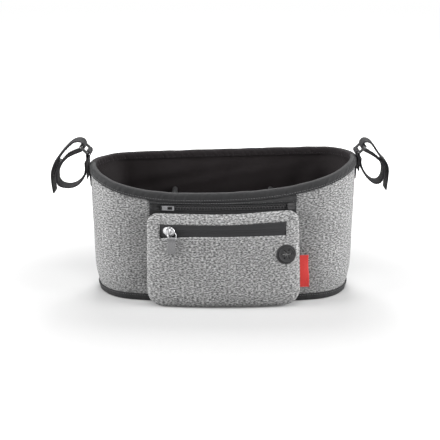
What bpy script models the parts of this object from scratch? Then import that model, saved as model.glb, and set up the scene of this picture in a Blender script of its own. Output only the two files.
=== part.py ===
"""Stroller organizer: a padded open bag that hangs on a stroller's handlebar by two straps.

Metres, +Z up. The base rests on z = 0, the front faces -Y, and X runs along the handlebar.
The front wall is part of a cone about a vertical axis behind the bag, so what lies on it is
laid out flat first: u runs along the wall, z upwards and out away from the cloth.
"""
import math

import bmesh
import bpy
import numpy as np
from mathutils import Matrix, Vector

# Body of the bag, outside the padded cloth
TOP_HALF = 0.165
BASE_HALF = 0.160
FRONT_TOP = 0.0774
FRONT_BASE = 0.0836
FRONT_RIM_Z = 0.1395
SIDE_RIM_Z = 0.1650
BACK_RIM_Z = 0.1665
FRONT_ARC = 0.560
SIDE_RADIUS_TOP = 0.062
SIDE_RADIUS_BASE = 0.056
REAR_RADIUS_TOP = 0.0434
REAR_RADIUS_BASE = 0.048
TUCK = 0.005
TUCK_HEIGHT = 0.038
FRONT_RIM_POWER = 2.9
BACK_RIM_POWER = 4.0
RIM_LOW_X = -0.014
RIM_LIFT = 0.030

# Cloth layers and the clearance between pieces that touch
GAP = 0.0003
WALL = 0.0030
LINING = 0.0010
BASE_BOARD = 0.0025
BINDING = 0.0012
BINDING_DROP = 0.0105
BINDING_INSIDE_DROP = 0.0090
BASE_BAND = 0.0095
SEAM_T = 0.003

# Padded dividers between the two cup wells and the middle
DIVIDER_X = 0.062
DIVIDER_THICK = 0.0040
DIVIDER_TOP = 0.118
DIVIDER_BINDING = 0.0010
DIVIDER_BINDING_DROP = 0.008

# Upper zipper, which holds the wallet to the bag
CHAIN_Z = 0.1220
CHAIN_HALF = 0.0030
CHAIN_START = -0.0745
CHAIN_END = 0.0765
TAPE_HALF_LENGTH = 0.0880
TAPE_THICK = 0.0009
TAPE_OUT = 0.0004
CHAIN_OUT = 0.0019
TOOTH_THICK = 0.0022
TOOTH_PITCH = 0.0036
TOOTH_CROWN = 0.0015
TOOTH_REACH = 0.0008
SLIDER_LEAD = 0.0045
SLIDER_LENGTH = 0.0135
SLIDER_HALF = 0.0042
SLIDER_PLATE = 0.0012
RETAINER_LENGTH = 0.0085
RETAINER_HALF = 0.0040
PULL_LENGTH = 0.0150
PULL_HALF = 0.0027
PULL_THICK = 0.0014

# Flat zipped wallet on the front
WALLET_HALF = 0.0910
WALLET_TOP = 0.1150
WALLET_BOTTOM = 0.0010
WALLET_TOP_RADIUS = 0.014
WALLET_BOTTOM_RADIUS = 0.020
WALLET_OUT = 0.0004
WALLET_BACK = 0.0026
WALLET_SHELL = 0.0030
WALLET_CROWN = 0.0060
CROWN_ACROSS = 10
CROWN_UP = 4
HANG_OUT = 0.0079
FRONT_LEAN = 0.63
WINDOW_HALF = 0.0740
WINDOW_TOP = 0.1027
WINDOW_BOTTOM = 0.0875
COIL_TAPE = 0.0010
COIL_RECESS = 0.0016

# Wallet slider, its wire loop and its ribbon
WALLET_SLIDER_INSET = 0.0103
WALLET_SLIDER_LENGTH = 0.0130
WALLET_SLIDER_HALF = 0.0046
PIVOT_LIFT = 0.0046
LOOP_WIRE = 0.00065
LOOP_LENGTH = 0.0095
RIBBON_WIDTH = 0.0098
RIBBON_LENGTH = 0.0190
RIBBON_THICK = 0.0009

# Rubber cable port and side tag
PORT_INSET = 0.0170
PORT_Z = 0.0620
PORT_RADIUS = 0.0119
PORT_STEP_RADIUS = 0.0092
PORT_THICK = 0.0012
PORT_STEP = 0.0007
SLIT_REACH = 0.0062
SLIT_WIDTH = 0.0007
TAG_LOW = 0.0184
TAG_HIGH = 0.0579
TAG_REACH = 0.0110
TAG_THICK = 0.0007

# Strap hardware at each end, measured from the rim's side corner
STRAP_WIDTH = 0.025
STRAP_THICK = 0.0024
GRIP_TAPE = 0.0009
RING_WIRE = 0.0018
RING_X = 0.0020
RING_Z = 0.0072
RING_REACH_X = 0.0086
RING_REACH_Z = 0.0084
ANCHOR_THICK = 0.0012
ANCHOR_LOW = 0.0290
ANCHOR_RETURN = 0.0200
STRAP_ROUTE = (
    (0.0064, -0.0020), (0.0062, -0.0090), (0.0080, -0.0155), (0.0117, -0.0225),
    (0.0170, -0.0286), (0.0234, -0.0322), (0.0296, -0.0310), (0.0334, -0.0258),
    (0.0344, -0.0185), (0.0334, -0.0110), (0.0287, -0.0036), (0.0220, 0.0018),
    (0.0152, 0.0052), (0.0097, 0.0090), (0.0069, 0.0140), (0.0082, 0.0192),
    (0.0128, 0.0216), (0.0181, 0.0200), (0.0228, 0.0150),
)
TAIL_END = ((0.0392, -0.0270), (0.0384, -0.0350), (0.0368, -0.0430))

ARC_COLUMNS = 10
SIDE_COLUMNS = 8
REAR_COLUMNS = 5
BACK_COLUMNS = 4

SHELL_OUT = WALLET_OUT + WALLET_BACK + GAP
SLIDER_U = CHAIN_START - SLIDER_LEAD
WALLET_SLIDER_U = WALLET_SLIDER_INSET - WINDOW_HALF
PORT_U = WALLET_HALF - PORT_INSET
OUT_RISE = (FRONT_BASE - FRONT_TOP) / FRONT_RIM_Z + HANG_OUT / CHAIN_Z / 2

HEATHER = (0.30, 0.30, 0.305)
BLACK = (0.022, 0.021, 0.023)
CHARCOAL = (0.045, 0.044, 0.046)


def remove_all():
    """Empty the scene, object by object."""
    for old in list(bpy.data.objects):
        bpy.data.objects.remove(old, do_unlink=True)


def material(name, colour, roughness=0.8, metallic=0.0):
    """A plain Principled material, made once for each name."""
    found = bpy.data.materials.get(name)
    if found:
        return found
    new = bpy.data.materials.new(name)
    new.use_nodes = True
    shader = new.node_tree.nodes["Principled BSDF"]
    shader.inputs["Base Color"].default_value = (*colour, 1.0)
    shader.inputs["Roughness"].default_value = roughness
    shader.inputs["Metallic"].default_value = metallic
    return new


def solid(name, points, faces, finish, smooth=True):
    """Turn points and faces into one closed object with its faces pointing out."""
    mesh = bpy.data.meshes.new(name)
    mesh.from_pydata([tuple(p) for p in points], [], faces)
    work = bmesh.new()
    work.from_mesh(mesh)
    bmesh.ops.remove_doubles(work, verts=work.verts, dist=0.000001)
    bmesh.ops.recalc_face_normals(work, faces=work.faces)
    work.to_mesh(mesh)
    work.free()
    if smooth:
        mesh.shade_smooth()
        mesh.set_sharp_from_angle(angle=math.radians(40))
    mesh.materials.append(finish)
    thing = bpy.data.objects.new(name, mesh)
    bpy.context.collection.objects.link(thing)
    return thing


def sweep(name, rings, finish, closed=False):
    """Join a row of equal closed sections into a solid; its ends are capped unless it closes."""
    rings = np.asarray(rings, float)
    count, size = rings.shape[:2]
    faces = []
    for i in range(count if closed else count - 1):
        j = (i + 1) % count
        for k in range(size):
            n = (k + 1) % size
            faces.append((i * size + k, i * size + n, j * size + n, j * size + k))
    if not closed:
        faces.append(tuple(range(size)))
        faces.append(tuple((count - 1) * size + k for k in range(size)))
    return solid(name, rings.reshape(-1, 3), faces, finish)


def dish(name, lines, finish):
    """Join lines that all start and end on the middle axis, round a closed ring of stations."""
    lines = np.asarray(lines, float)
    count, size = lines.shape[:2]
    faces = []
    for i in range(count):
        j = (i + 1) % count
        for k in range(size - 1):
            faces.append((i * size + k, i * size + k + 1, j * size + k + 1, j * size + k))
    return solid(name, lines.reshape(-1, 3), faces, finish)


def between(low, high, share):
    """Straight blend of two values."""
    return low + (high - low) * share


def tuck(z):
    """How far the wall is drawn in near the base."""
    return TUCK * max(0.0, 1 - z / TUCK_HEIGHT) ** 2


def cone_radius(z):
    """Radius at height z of the cone that the front wall and the wallet follow."""
    return FRONT_ARC - FRONT_TOP + between(FRONT_BASE, FRONT_TOP, z / FRONT_RIM_Z)


def hung_radius(z):
    """Radius at height z of what hangs from the upper zipper, which stands off at its foot."""
    return cone_radius(z) + HANG_OUT * max(0.0, 1 - z / CHAIN_Z)


def wallet_half(z):
    """Half width of the wallet at height z, less where its corners are round."""
    drop = 0.0
    if z > WALLET_TOP - WALLET_TOP_RADIUS:
        rise = (z - WALLET_TOP + WALLET_TOP_RADIUS) / WALLET_TOP_RADIUS
        drop = WALLET_TOP_RADIUS * (1 - math.sqrt(max(0.0, 1 - rise ** 2)))
    if z < WALLET_BOTTOM + WALLET_BOTTOM_RADIUS:
        fall = (WALLET_BOTTOM + WALLET_BOTTOM_RADIUS - z) / WALLET_BOTTOM_RADIUS
        drop = WALLET_BOTTOM_RADIUS * (1 - math.sqrt(max(0.0, 1 - fall ** 2)))
    return WALLET_HALF - drop


def wallet_front(u, z):
    """How far the wallet's front stands off the wall: a flat pillow, thin at its edges."""
    middle = (WALLET_TOP + WALLET_BOTTOM) / 2
    tall = (WALLET_TOP - WALLET_BOTTOM) / 2
    across = min(1.0, abs(u) / wallet_half(z))
    up = min(1.0, abs(z - middle) / tall)
    edge = SHELL_OUT + WALLET_SHELL
    return edge + WALLET_CROWN * (1 - across ** CROWN_ACROSS) * (1 - up ** CROWN_UP)


# The cone's axis stands behind the bag, where it centres the whole part on Y
FULLEST_Z = WALLET_BOTTOM + WALLET_BOTTOM_RADIUS
FRONT_REACH = hung_radius(FULLEST_Z) + wallet_front(0.0, FULLEST_Z)
RIM_SIDE = cone_radius(SIDE_RIM_Z) - SIDE_RADIUS_TOP
SIDE_REACH = math.sqrt(RIM_SIDE ** 2 - (TOP_HALF - SIDE_RADIUS_TOP) ** 2)
AXIS_Y = (FRONT_REACH + SIDE_REACH - REAR_RADIUS_TOP - BINDING - GAP) / 2


def front_radius(z):
    """Radius of the front wall at height z: the cone's, less the tuck near the base."""
    return cone_radius(z) - tuck(z)


def plan_values(z):
    """Half width, side and rear radii, side centre y and arc end angle of the outline at z."""
    share = z / SIDE_RIM_Z
    half = between(BASE_HALF, TOP_HALF, share) - tuck(z)
    side = between(SIDE_RADIUS_BASE, SIDE_RADIUS_TOP, share) - tuck(z)
    rear = between(REAR_RADIUS_BASE, REAR_RADIUS_TOP, share) - tuck(z)
    radius = front_radius(z)
    side_y = AXIS_Y - math.sqrt((radius - side) ** 2 - (half - side) ** 2)
    end = math.asin((half - side) / (radius - side))
    return half, side, rear, side_y, end


def wall_point(t, z, out):
    """Point on the wall: t is 0 at the front, 1 where the side's round starts, 2 at the widest
    place, 3 where the back starts and 4 at the back's middle; out is measured off the cloth."""
    half, side, rear, side_y, end = plan_values(z)
    turn = math.copysign(1.0, t)
    t = abs(t)
    if t <= 1:
        radius = front_radius(z) + out
        x = radius * math.sin(end * t)
        y = AXIS_Y - radius * math.cos(end * t)
    elif t <= 2:
        angle = between(end, math.pi / 2, t - 1)
        x = half - side + (side + out) * math.sin(angle)
        y = side_y - (side + out) * math.cos(angle)
    elif t <= 3:
        angle = math.pi / 2 * (t - 2)
        x = half - rear + (rear + out) * math.cos(angle)
        y = side_y + (rear + out) * math.sin(angle)
    else:
        x = (half - rear) * (4 - t)
        y = side_y + rear + out
    return x * turn, y, z


def rim_height(t):
    """Height of the rim: low at the front, rising to the side corners, nearly level behind."""
    x = wall_point(t, SIDE_RIM_Z, 0.0)[0]
    lift = RIM_LIFT * x
    if abs(t) > 2:
        return between(BACK_RIM_Z, SIDE_RIM_Z, abs(x / TOP_HALF) ** BACK_RIM_POWER) + lift
    span = TOP_HALF - RIM_LOW_X if x > RIM_LOW_X else TOP_HALF + RIM_LOW_X
    share = abs(x - RIM_LOW_X) / span
    return between(FRONT_RIM_Z, SIDE_RIM_Z, share ** FRONT_RIM_POWER) + lift


def stations(first, last):
    """Places along the outline from first to last, closer together where it bends."""
    marks = []
    for start, count in ((0, ARC_COLUMNS), (1, SIDE_COLUMNS), (2, REAR_COLUMNS), (3, BACK_COLUMNS)):
        marks += [start + i / count for i in range(count)]
    marks.append(4.0)
    both = sorted({-m for m in marks} | set(marks))
    inner = [m for m in both if first + SEAM_T < m < last - SEAM_T]
    return [first] + inner + [last]


def full_ring():
    """All stations of the closed outline, once round."""
    return stations(-4.0, 4.0)[:-1]


def front_stations():
    """Stations of the front piece, from one side seam to the other."""
    return stations(-2.0 + SEAM_T, 2.0 - SEAM_T)


def back_stations():
    """Stations of the back piece, from the right side seam round to the left."""
    right = stations(2.0 + SEAM_T, 4.0)
    return right + [-t for t in reversed(right[:-1])]


def panel_section(t):
    """Section of the padded wall at station t, up its outside and down its inside."""
    low = BINDING + 2 * GAP
    top = rim_height(t) - BINDING - GAP
    heights = [low, TUCK_HEIGHT * 0.24, TUCK_HEIGHT * 0.53, TUCK_HEIGHT, between(TUCK_HEIGHT, top, 0.5), top]
    outside = [wall_point(t, z, 0.0) for z in heights]
    inside = [wall_point(t, z, -WALL) for z in reversed(heights)]
    return outside + inside


def binding_section(t):
    """Section of the folded tape that caps the wall and its lining at the rim."""
    top = rim_height(t)
    near = GAP
    far = GAP + BINDING
    inner = -WALL - LINING - 2 * GAP
    deep = inner - BINDING
    soft = BINDING / 2
    marks = [(top - BINDING_DROP, near), (top - BINDING_DROP, far), (top - soft, far),
             (top, far - soft), (top, deep + soft), (top - soft, deep),
             (top - BINDING_INSIDE_DROP, deep), (top - BINDING_INSIDE_DROP, inner),
             (top - BINDING, inner), (top - BINDING, near)]
    return [wall_point(t, z, out) for z, out in marks]


def make_walls():
    """Padded front and back, the binding tape along their rims and round the base."""
    heather = material("heather_neoprene", HEATHER, 0.92)
    charcoal = material("charcoal_binding", CHARCOAL, 0.75)
    black = material("black_binding", BLACK, 0.75)
    sweep("outer_front_panel", [panel_section(t) for t in front_stations()], heather)
    sweep("outer_back_panel", [panel_section(t) for t in back_stations()], heather)
    sweep("front_binding", [binding_section(t) for t in front_stations()], charcoal)
    sweep("back_binding", [binding_section(t) for t in back_stations()], black)
    soft = BINDING / 2
    marks = [(BASE_BAND, GAP), (BASE_BAND, GAP + BINDING), (GAP + soft, GAP + BINDING),
             (GAP, GAP + soft), (GAP, -WALL), (GAP + BINDING, -WALL), (GAP + BINDING, GAP)]
    rings = [[wall_point(t, z, out) for z, out in marks] for t in full_ring()]
    sweep("base_binding", rings, charcoal, closed=True)


def middle_y(z):
    """Middle of the bag's depth at height z."""
    side_y, rear = plan_values(z)[3], plan_values(z)[2]
    return (AXIS_Y - front_radius(z) + side_y + rear) / 2


def floor_line(t, marks):
    """Points of a floor piece; each mark is height, out and share of the way from the middle."""
    line = []
    for z, out, share in marks:
        x, y, level = wall_point(t, z, out)
        centre = middle_y(z)
        line.append((x * share, centre + (y - centre) * share, level))
    return line


def make_inside():
    """Base board, and the lining: one sewn bag with its own floor."""
    board = material("base_board", BLACK, 0.8)
    edge = -WALL - GAP
    marks = [(0.0, edge, 0.0), (0.0, edge, 1.0), (BASE_BOARD, edge, 1.0), (BASE_BOARD, edge, 0.0)]
    dish("base_panel", [floor_line(t, marks) for t in full_ring()], board)
    cloth = material("black_lining", BLACK, 0.7)
    inner = edge - LINING
    low = BASE_BOARD + GAP
    lines = []
    for t in full_ring():
        top = rim_height(t) - BINDING - GAP
        rise = [low, 0.014, TUCK_HEIGHT, top]
        line = [(low, edge, 0.0)] + [(z, edge, 1.0) for z in rise]
        rise[0] = low + LINING
        line += [(z, inner, 1.0) for z in reversed(rise)] + [(low + LINING, inner, 0.0)]
        lines.append(floor_line(t, line))
    dish("lining", lines, cloth)


def inner_face(x, z, clearance):
    """Front and back y of the lining's inner face at x and z, drawn in by a clearance."""
    inset = WALL + LINING + GAP + clearance
    half, side, rear, side_y, _ = plan_values(z)
    radius = front_radius(z) - inset
    return AXIS_Y - math.sqrt(radius ** 2 - x ** 2), side_y + rear - inset


def make_dividers():
    """Two padded walls that part the cup wells from the middle, each with a bound top edge."""
    padded = material("divider_padding", BLACK, 0.8)
    tape = material("divider_binding", CHARCOAL, 0.75)
    low = BASE_BOARD + LINING + 2 * GAP
    top = DIVIDER_TOP - DIVIDER_BINDING - GAP
    for side, turn in (("left", -1), ("right", 1)):
        near = DIVIDER_X - DIVIDER_THICK / 2
        far = DIVIDER_X + DIVIDER_THICK / 2
        rings = []
        for z in (low, 0.014, TUCK_HEIGHT, top):
            corners = []
            for x, end in ((near, 0), (far, 0), (far, 1), (near, 1)):
                corners.append((x * turn, inner_face(far, z, GAP)[end], z))
            rings.append(corners)
        sweep(side + "_divider", rings, padded)
        room = DIVIDER_THICK / 2 + GAP
        outer = room + DIVIDER_BINDING
        leg = DIVIDER_TOP - DIVIDER_BINDING_DROP
        shape = [(-outer, leg), (-outer, DIVIDER_TOP), (outer, DIVIDER_TOP), (outer, leg),
                 (room, leg), (room, top + GAP), (-room, top + GAP), (-room, leg)]
        rings = []
        for end in (0, 1):
            y = inner_face(DIVIDER_X + outer, leg, 2 * GAP)[end]
            rings.append([((DIVIDER_X + x) * turn, y, z) for x, z in shape])
        sweep(side + "_divider_binding", rings, tape)


def on_wall(u, z, out):
    """Bend a flat layout on to the front: u along it, z up, out square to the sloping cloth. All
    of it leans a little about Y, its right end up, as the zipper is sewn."""
    angle = u / FRONT_ARC
    radius = hung_radius(z) + out
    lean = math.radians(FRONT_LEAN)
    x = radius * math.sin(angle)
    rise = z - CHAIN_Z + out * OUT_RISE
    return (x * math.cos(lean) - rise * math.sin(lean), AXIS_Y - radius * math.cos(angle),
            CHAIN_Z + x * math.sin(lean) + rise * math.cos(lean))


def wall_frame(u, z, out):
    """Rigid place on the front: local X along it, local Y up it and local Z outwards."""
    step = 0.001
    along = (Vector(on_wall(u + step, z, out)) - Vector(on_wall(u - step, z, out))).normalized()
    up = Vector(on_wall(u, z + step, out)) - Vector(on_wall(u, z - step, out))
    outward = along.cross(up).normalized()
    up = outward.cross(along)
    place = Matrix((along, up, outward)).transposed().to_4x4()
    place.translation = on_wall(u, z, out)
    return place


def steps(first, last, length):
    """Even places from first to last, no further apart than a length."""
    count = max(1, math.ceil((last - first) / length - 0.001))
    return [between(first, last, i / count) for i in range(count + 1)]


def tooth_edge(offset):
    """Places along the chain and how far the moulded teeth reach at each, for one side."""
    bead = TAPE_THICK / 2 - CHAIN_HALF
    root = -TOOTH_REACH - GAP
    marks = [(u, bead) for u in steps(-TAPE_HALF_LENGTH, CHAIN_START - GAP, 0.010)]
    u = CHAIN_START + offset
    marks.append((CHAIN_START, root))
    while u + TOOTH_PITCH < CHAIN_END:
        slope = TOOTH_CROWN * 0.2
        marks += [(u, root), (u + slope, TOOTH_REACH), (u + TOOTH_CROWN, TOOTH_REACH),
                  (u + TOOTH_CROWN + slope, root)]
        u += TOOTH_PITCH
    marks += [(CHAIN_END, root)]
    return marks


def make_stringer(name, turn, edge_z, offset, finish):
    """One side of the upper zipper: cloth tape, its rising inner edge and the moulded teeth."""
    rings = []
    for u, reach in tooth_edge(offset):
        tip = CHAIN_Z - turn * reach
        cord = CHAIN_Z + turn * CHAIN_HALF
        front = CHAIN_OUT + TOOTH_THICK
        marks = [(edge_z, TAPE_OUT), (cord, CHAIN_OUT), (tip, CHAIN_OUT), (tip, front),
                 (cord, front), (cord, CHAIN_OUT + TAPE_THICK), (edge_z, TAPE_OUT + TAPE_THICK)]
        rings.append([on_wall(u, z, out) for z, out in marks])
    sweep(name, rings, finish)


def prism(outline, low, high):
    """Points and faces of a flat outline in local X and Y, raised from low to high."""
    size = len(outline)
    points = [(x, y, low) for x, y in outline] + [(x, y, high) for x, y in outline]
    faces = [tuple(range(size)), tuple(range(size, 2 * size))]
    for k in range(size):
        n = (k + 1) % size
        faces.append((k, n, size + n, size + k))
    return points, faces


def box(x0, x1, y0, y1, z0, z1):
    """A block between two corners, as points and faces."""
    return prism([(x0, y0), (x1, y0), (x1, y1), (x0, y1)], z0, z1)


def shape(name, parts, cuts, finish):
    """Unite blocks into one solid, cut others away, and return its plain mesh object."""
    base = solid(name, *parts[0], finish, smooth=False)
    helpers = []
    for kind, group in (("UNION", parts[1:]), ("DIFFERENCE", cuts)):
        for part in group:
            helper = solid(name + "_tool", *part, finish, smooth=False)
            helper.hide_render = True
            helper.display_type = "WIRE"
            step = base.modifiers.new(kind, "BOOLEAN")
            step.operation = kind
            step.object = helper
            step.solver = "EXACT"
            helpers.append(helper)
    view = bpy.context.evaluated_depsgraph_get()
    done = bpy.data.meshes.new_from_object(base.evaluated_get(view))
    base.modifiers.clear()
    base.data = done
    for helper in helpers:
        bpy.data.objects.remove(helper, do_unlink=True)
    return base


def round_outline(x0, x1, y0, y1, radius, corner=3):
    """Rectangle with rounded corners, counterclockwise."""
    points = []
    for cx, cy, start in ((x1 - radius, y0 + radius, -90), (x1 - radius, y1 - radius, 0),
                          (x0 + radius, y1 - radius, 90), (x0 + radius, y0 + radius, 180)):
        for i in range(corner + 1):
            angle = math.radians(start + 90 * i / corner)
            points.append((cx + radius * math.cos(angle), cy + radius * math.sin(angle)))
    return points


def make_upper_zipper():
    """Chain, slider, pull and retainer box of the separating zipper under the rim."""
    tape = material("zipper_tape", CHARCOAL, 0.8)
    moulded = material("moulded_black", BLACK, 0.45)
    dark = material("gunmetal", (0.16, 0.16, 0.17), 0.4, 0.6)
    rise = FRONT_RIM_Z + RIM_LIFT * RIM_LOW_X - BINDING_DROP - 2 * GAP
    lower_edge = WALLET_TOP - (WALLET_TOP - WINDOW_TOP) / 2
    make_stringer("upper_stringer", 1, rise, 0.0, tape)
    make_stringer("lower_stringer", -1, lower_edge, TOOTH_PITCH / 2, tape)

    front = CHAIN_OUT + TOOTH_THICK + GAP
    plate_top = front + SLIDER_PLATE
    half = SLIDER_LENGTH / 2
    shield = [(-half, -SLIDER_HALF * 0.75), (-half * 0.7, -SLIDER_HALF), (half * 0.3, -SLIDER_HALF),
              (half, -SLIDER_HALF * 0.8), (half, SLIDER_HALF * 0.8), (half * 0.3, SLIDER_HALF),
              (-half * 0.7, SLIDER_HALF), (-half, SLIDER_HALF * 0.75)]
    neck_end = CHAIN_START - SLIDER_U - GAP
    pivot_x = half * 0.35
    pivot_z = plate_top + GAP + PULL_THICK / 2
    arch_top = pivot_z + PULL_THICK / 2 + GAP + 0.0010
    leg = 0.0011
    reach = PULL_THICK / 2 + GAP
    parts = [prism(shield, front, plate_top),
             prism([(x, y * CHAIN_HALF / SLIDER_HALF) for x, y in shield], TAPE_OUT, CHAIN_OUT - GAP),
             box(-half * 0.9, neck_end, -CHAIN_HALF * 0.35, CHAIN_HALF * 0.35, TAPE_OUT, plate_top),
             box(-half * 0.2, half * 0.9, SLIDER_HALF - 0.0009, SLIDER_HALF - 0.0001,
                 CHAIN_OUT + TAPE_THICK + GAP, plate_top),
             box(-half * 0.2, half * 0.9, 0.0001 - SLIDER_HALF, 0.0009 - SLIDER_HALF,
                 CHAIN_OUT + TAPE_THICK + GAP, plate_top),
             box(pivot_x - reach - leg, pivot_x - reach, -0.0010, 0.0010, plate_top, arch_top),
             box(pivot_x + reach, pivot_x + reach + leg, -0.0010, 0.0010, plate_top, arch_top),
             box(pivot_x - reach - leg, pivot_x + reach + leg, -0.0010, 0.0010,
                 arch_top - 0.0010, arch_top)]
    slider = shape("attach_slider", parts, [], moulded)
    slider.matrix_world = wall_frame(SLIDER_U, CHAIN_Z, 0.0)

    eye = math.hypot(reach + leg, arch_top - pivot_z) + GAP
    parts = [prism(round_outline(-PULL_THICK / 2, PULL_LENGTH, -PULL_HALF, PULL_HALF, 0.0006),
                   -PULL_THICK / 2, PULL_THICK / 2)]
    cuts = [box(PULL_THICK / 2, eye, -0.0016, 0.0016, -0.002, 0.002),
            prism(round_outline(PULL_LENGTH * 0.62, PULL_LENGTH - 0.0014, -0.0014, 0.0014, 0.0004),
                  -0.002, 0.002)]
    pull = shape("attach_pull", parts, cuts, dark)
    pull.matrix_world = wall_frame(SLIDER_U, CHAIN_Z, 0.0) @ Matrix.Translation((pivot_x, 0, pivot_z))

    block = prism(round_outline(-RETAINER_LENGTH / 2, RETAINER_LENGTH / 2, -RETAINER_HALF,
                                RETAINER_HALF, 0.0010), TAPE_OUT, front + 0.0006)
    groove = box(-RETAINER_LENGTH, RETAINER_LENGTH, -0.0003, 0.0003, front, 0.01)
    keeper = shape("retainer_box", [block], [groove], moulded)
    keeper.matrix_world = wall_frame(CHAIN_END + GAP + RETAINER_LENGTH / 2, CHAIN_Z, 0.0)


def corner_rows(low, high):
    """Heights from low to high, closer together where the wallet's corners are round."""
    rows = [low, high]
    for i in range(1, 4):
        angle = math.radians(90 * i / 4)
        rows.append(WALLET_TOP - WALLET_TOP_RADIUS * (1 - math.sin(angle)))
        rows.append(WALLET_BOTTOM + WALLET_BOTTOM_RADIUS * (1 - math.sin(angle)))
    rows.append(WALLET_TOP - WALLET_TOP_RADIUS)
    rows.append(WALLET_BOTTOM + WALLET_BOTTOM_RADIUS)
    rows += steps(low, high, 0.016)[1:-1]
    rows = sorted(r for r in rows if low <= r <= high)
    kept = [rows[0]]
    for row in rows[1:]:
        if row - kept[-1] > 0.0006:
            kept.append(row)
    kept[-1] = high
    return kept


def patch(name, rows, spans, front, back, finish):
    """A sewn panel: rows of heights, each with its left and right u, between two depths."""
    shares = (0.0, 0.015, 0.04, 0.08, 0.16, 0.28, 0.5, 0.72, 0.84, 0.92, 0.96, 0.985, 1.0)
    if spans(rows[0])[1] - spans(rows[0])[0] < WALLET_HALF / 2:
        shares = (0.0, 0.2, 0.45, 1.0) if spans(rows[0])[0] < 0 else (0.0, 0.55, 0.8, 1.0)
    wide = len(shares)
    points = []
    for depth in (front, back):
        for z in rows:
            left, right = spans(z)
            for share in shares:
                u = between(left, right, share)
                points.append(on_wall(u, z, depth(u, z)))
    layer = len(rows) * wide
    faces = []
    for base in (0, layer):
        for i in range(len(rows) - 1):
            for k in range(wide - 1):
                a = base + i * wide + k
                faces.append((a, a + 1, a + wide + 1, a + wide))
    rim = [k for k in range(wide)]
    rim += [i * wide + wide - 1 for i in range(1, len(rows))]
    rim += [(len(rows) - 1) * wide + k for k in range(wide - 2, -1, -1)]
    rim += [i * wide for i in range(len(rows) - 2, 0, -1)]
    for a, b in zip(rim, rim[1:] + rim[:1]):
        faces.append((a, b, layer + b, layer + a))
    return solid(name, points, faces, finish)


def shell_back(u, z):
    """Inner side of the wallet's front."""
    return wallet_front(u, z) - WALLET_SHELL


def coil_front(u):
    """How far the coil zipper's face stands off the wall; it lies flat across its width."""
    return wallet_front(u, (WINDOW_TOP + WINDOW_BOTTOM) / 2) - COIL_RECESS


def make_coil_tape(name, near, far, finish):
    """Half of the wallet's zipper: cloth tape with a notch for the slider's neck."""
    start = -WINDOW_HALF + GAP
    notch_low = WALLET_SLIDER_U - WALLET_SLIDER_LENGTH * 0.46
    notch_high = WALLET_SLIDER_U - WALLET_SLIDER_LENGTH * 0.14
    places = steps(start, notch_low, 0.010) + steps(notch_low + 0.0002, notch_high, 0.010)
    places += steps(notch_high + 0.0002, -start, 0.010)
    rings = []
    for u in places:
        inside = notch_low < u <= notch_high
        edge = near + math.copysign(0.0016, far - near) if inside else near
        marks = []
        for z in (edge, far):
            marks.append(on_wall(u, z, coil_front(u)))
        for z in (far, edge):
            marks.append(on_wall(u, z, coil_front(u) - COIL_TAPE))
        rings.append(marks)
    sweep(name, rings, finish)


def make_wallet():
    """Zipped wallet: back, front in two panels, end tabs and the coil zipper's tapes."""
    heather = material("heather_neoprene", HEATHER, 0.92)
    tape = material("zipper_tape", CHARCOAL, 0.8)
    window_mid = (WINDOW_TOP + WINDOW_BOTTOM) / 2
    back_top = WALLET_TOP - (WALLET_TOP - WINDOW_TOP) / 2 - GAP

    def full(z):
        return -wallet_half(z), wallet_half(z)

    def left(z):
        return -wallet_half(z), -WINDOW_HALF

    def right(z):
        return WINDOW_HALF, wallet_half(z)

    patch("wallet_back", corner_rows(WALLET_BOTTOM, back_top), full,
          lambda u, z: WALLET_OUT + WALLET_BACK, lambda u, z: WALLET_OUT, heather)
    patch("wallet_top_panel", corner_rows(WINDOW_TOP + GAP, WALLET_TOP), full,
          wallet_front, shell_back, heather)
    patch("wallet_lower_panel", corner_rows(WALLET_BOTTOM, WINDOW_BOTTOM - GAP), full,
          wallet_front, shell_back, heather)
    tab_rows = [WINDOW_BOTTOM, window_mid, WINDOW_TOP]
    patch("wallet_tab_left", tab_rows, left, wallet_front, shell_back, heather)
    patch("wallet_tab_right", tab_rows, right, wallet_front, shell_back, heather)
    make_coil_tape("wallet_tape_upper", window_mid + GAP / 2, WINDOW_TOP, tape)
    make_coil_tape("wallet_tape_lower", window_mid - GAP / 2, WINDOW_BOTTOM, tape)


def bent_tube(name, path, radius, finish, sides=8):
    """Round wire along a closed path."""
    path = [Vector(p) for p in path]
    count = len(path)
    centre = sum(path, Vector()) / count
    normal = (path[0] - centre).cross(path[count // 4] - centre).normalized()
    rings = []
    for i, point in enumerate(path):
        along = (path[(i + 1) % count] - path[i - 1]).normalized()
        side = along.cross(normal).normalized()
        ring = []
        for k in range(sides):
            angle = 2 * math.pi * (k + 0.5) / sides
            ring.append(point + radius * (math.cos(angle) * side + math.sin(angle) * normal))
        rings.append(ring)
    return sweep(name, rings, finish, closed=True)


def ribbon(name, line, width, thick, place, finish):
    """Flat strip of a width and thickness, swept along a line in local X and Z."""
    line = np.asarray(line, float)
    along = np.gradient(line, axis=0)
    along /= np.linalg.norm(along, axis=1)[:, None]
    side = np.stack([-along[:, 1], along[:, 0]], 1) * thick / 2
    rings = []
    for point, shift in zip(line, side):
        corners = []
        for sign, y in ((1, -width / 2), (1, width / 2), (-1, width / 2), (-1, -width / 2)):
            x, z = point + sign * shift
            corners.append(place(x, y, z))
        rings.append(corners)
    return sweep(name, rings, finish)


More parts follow.
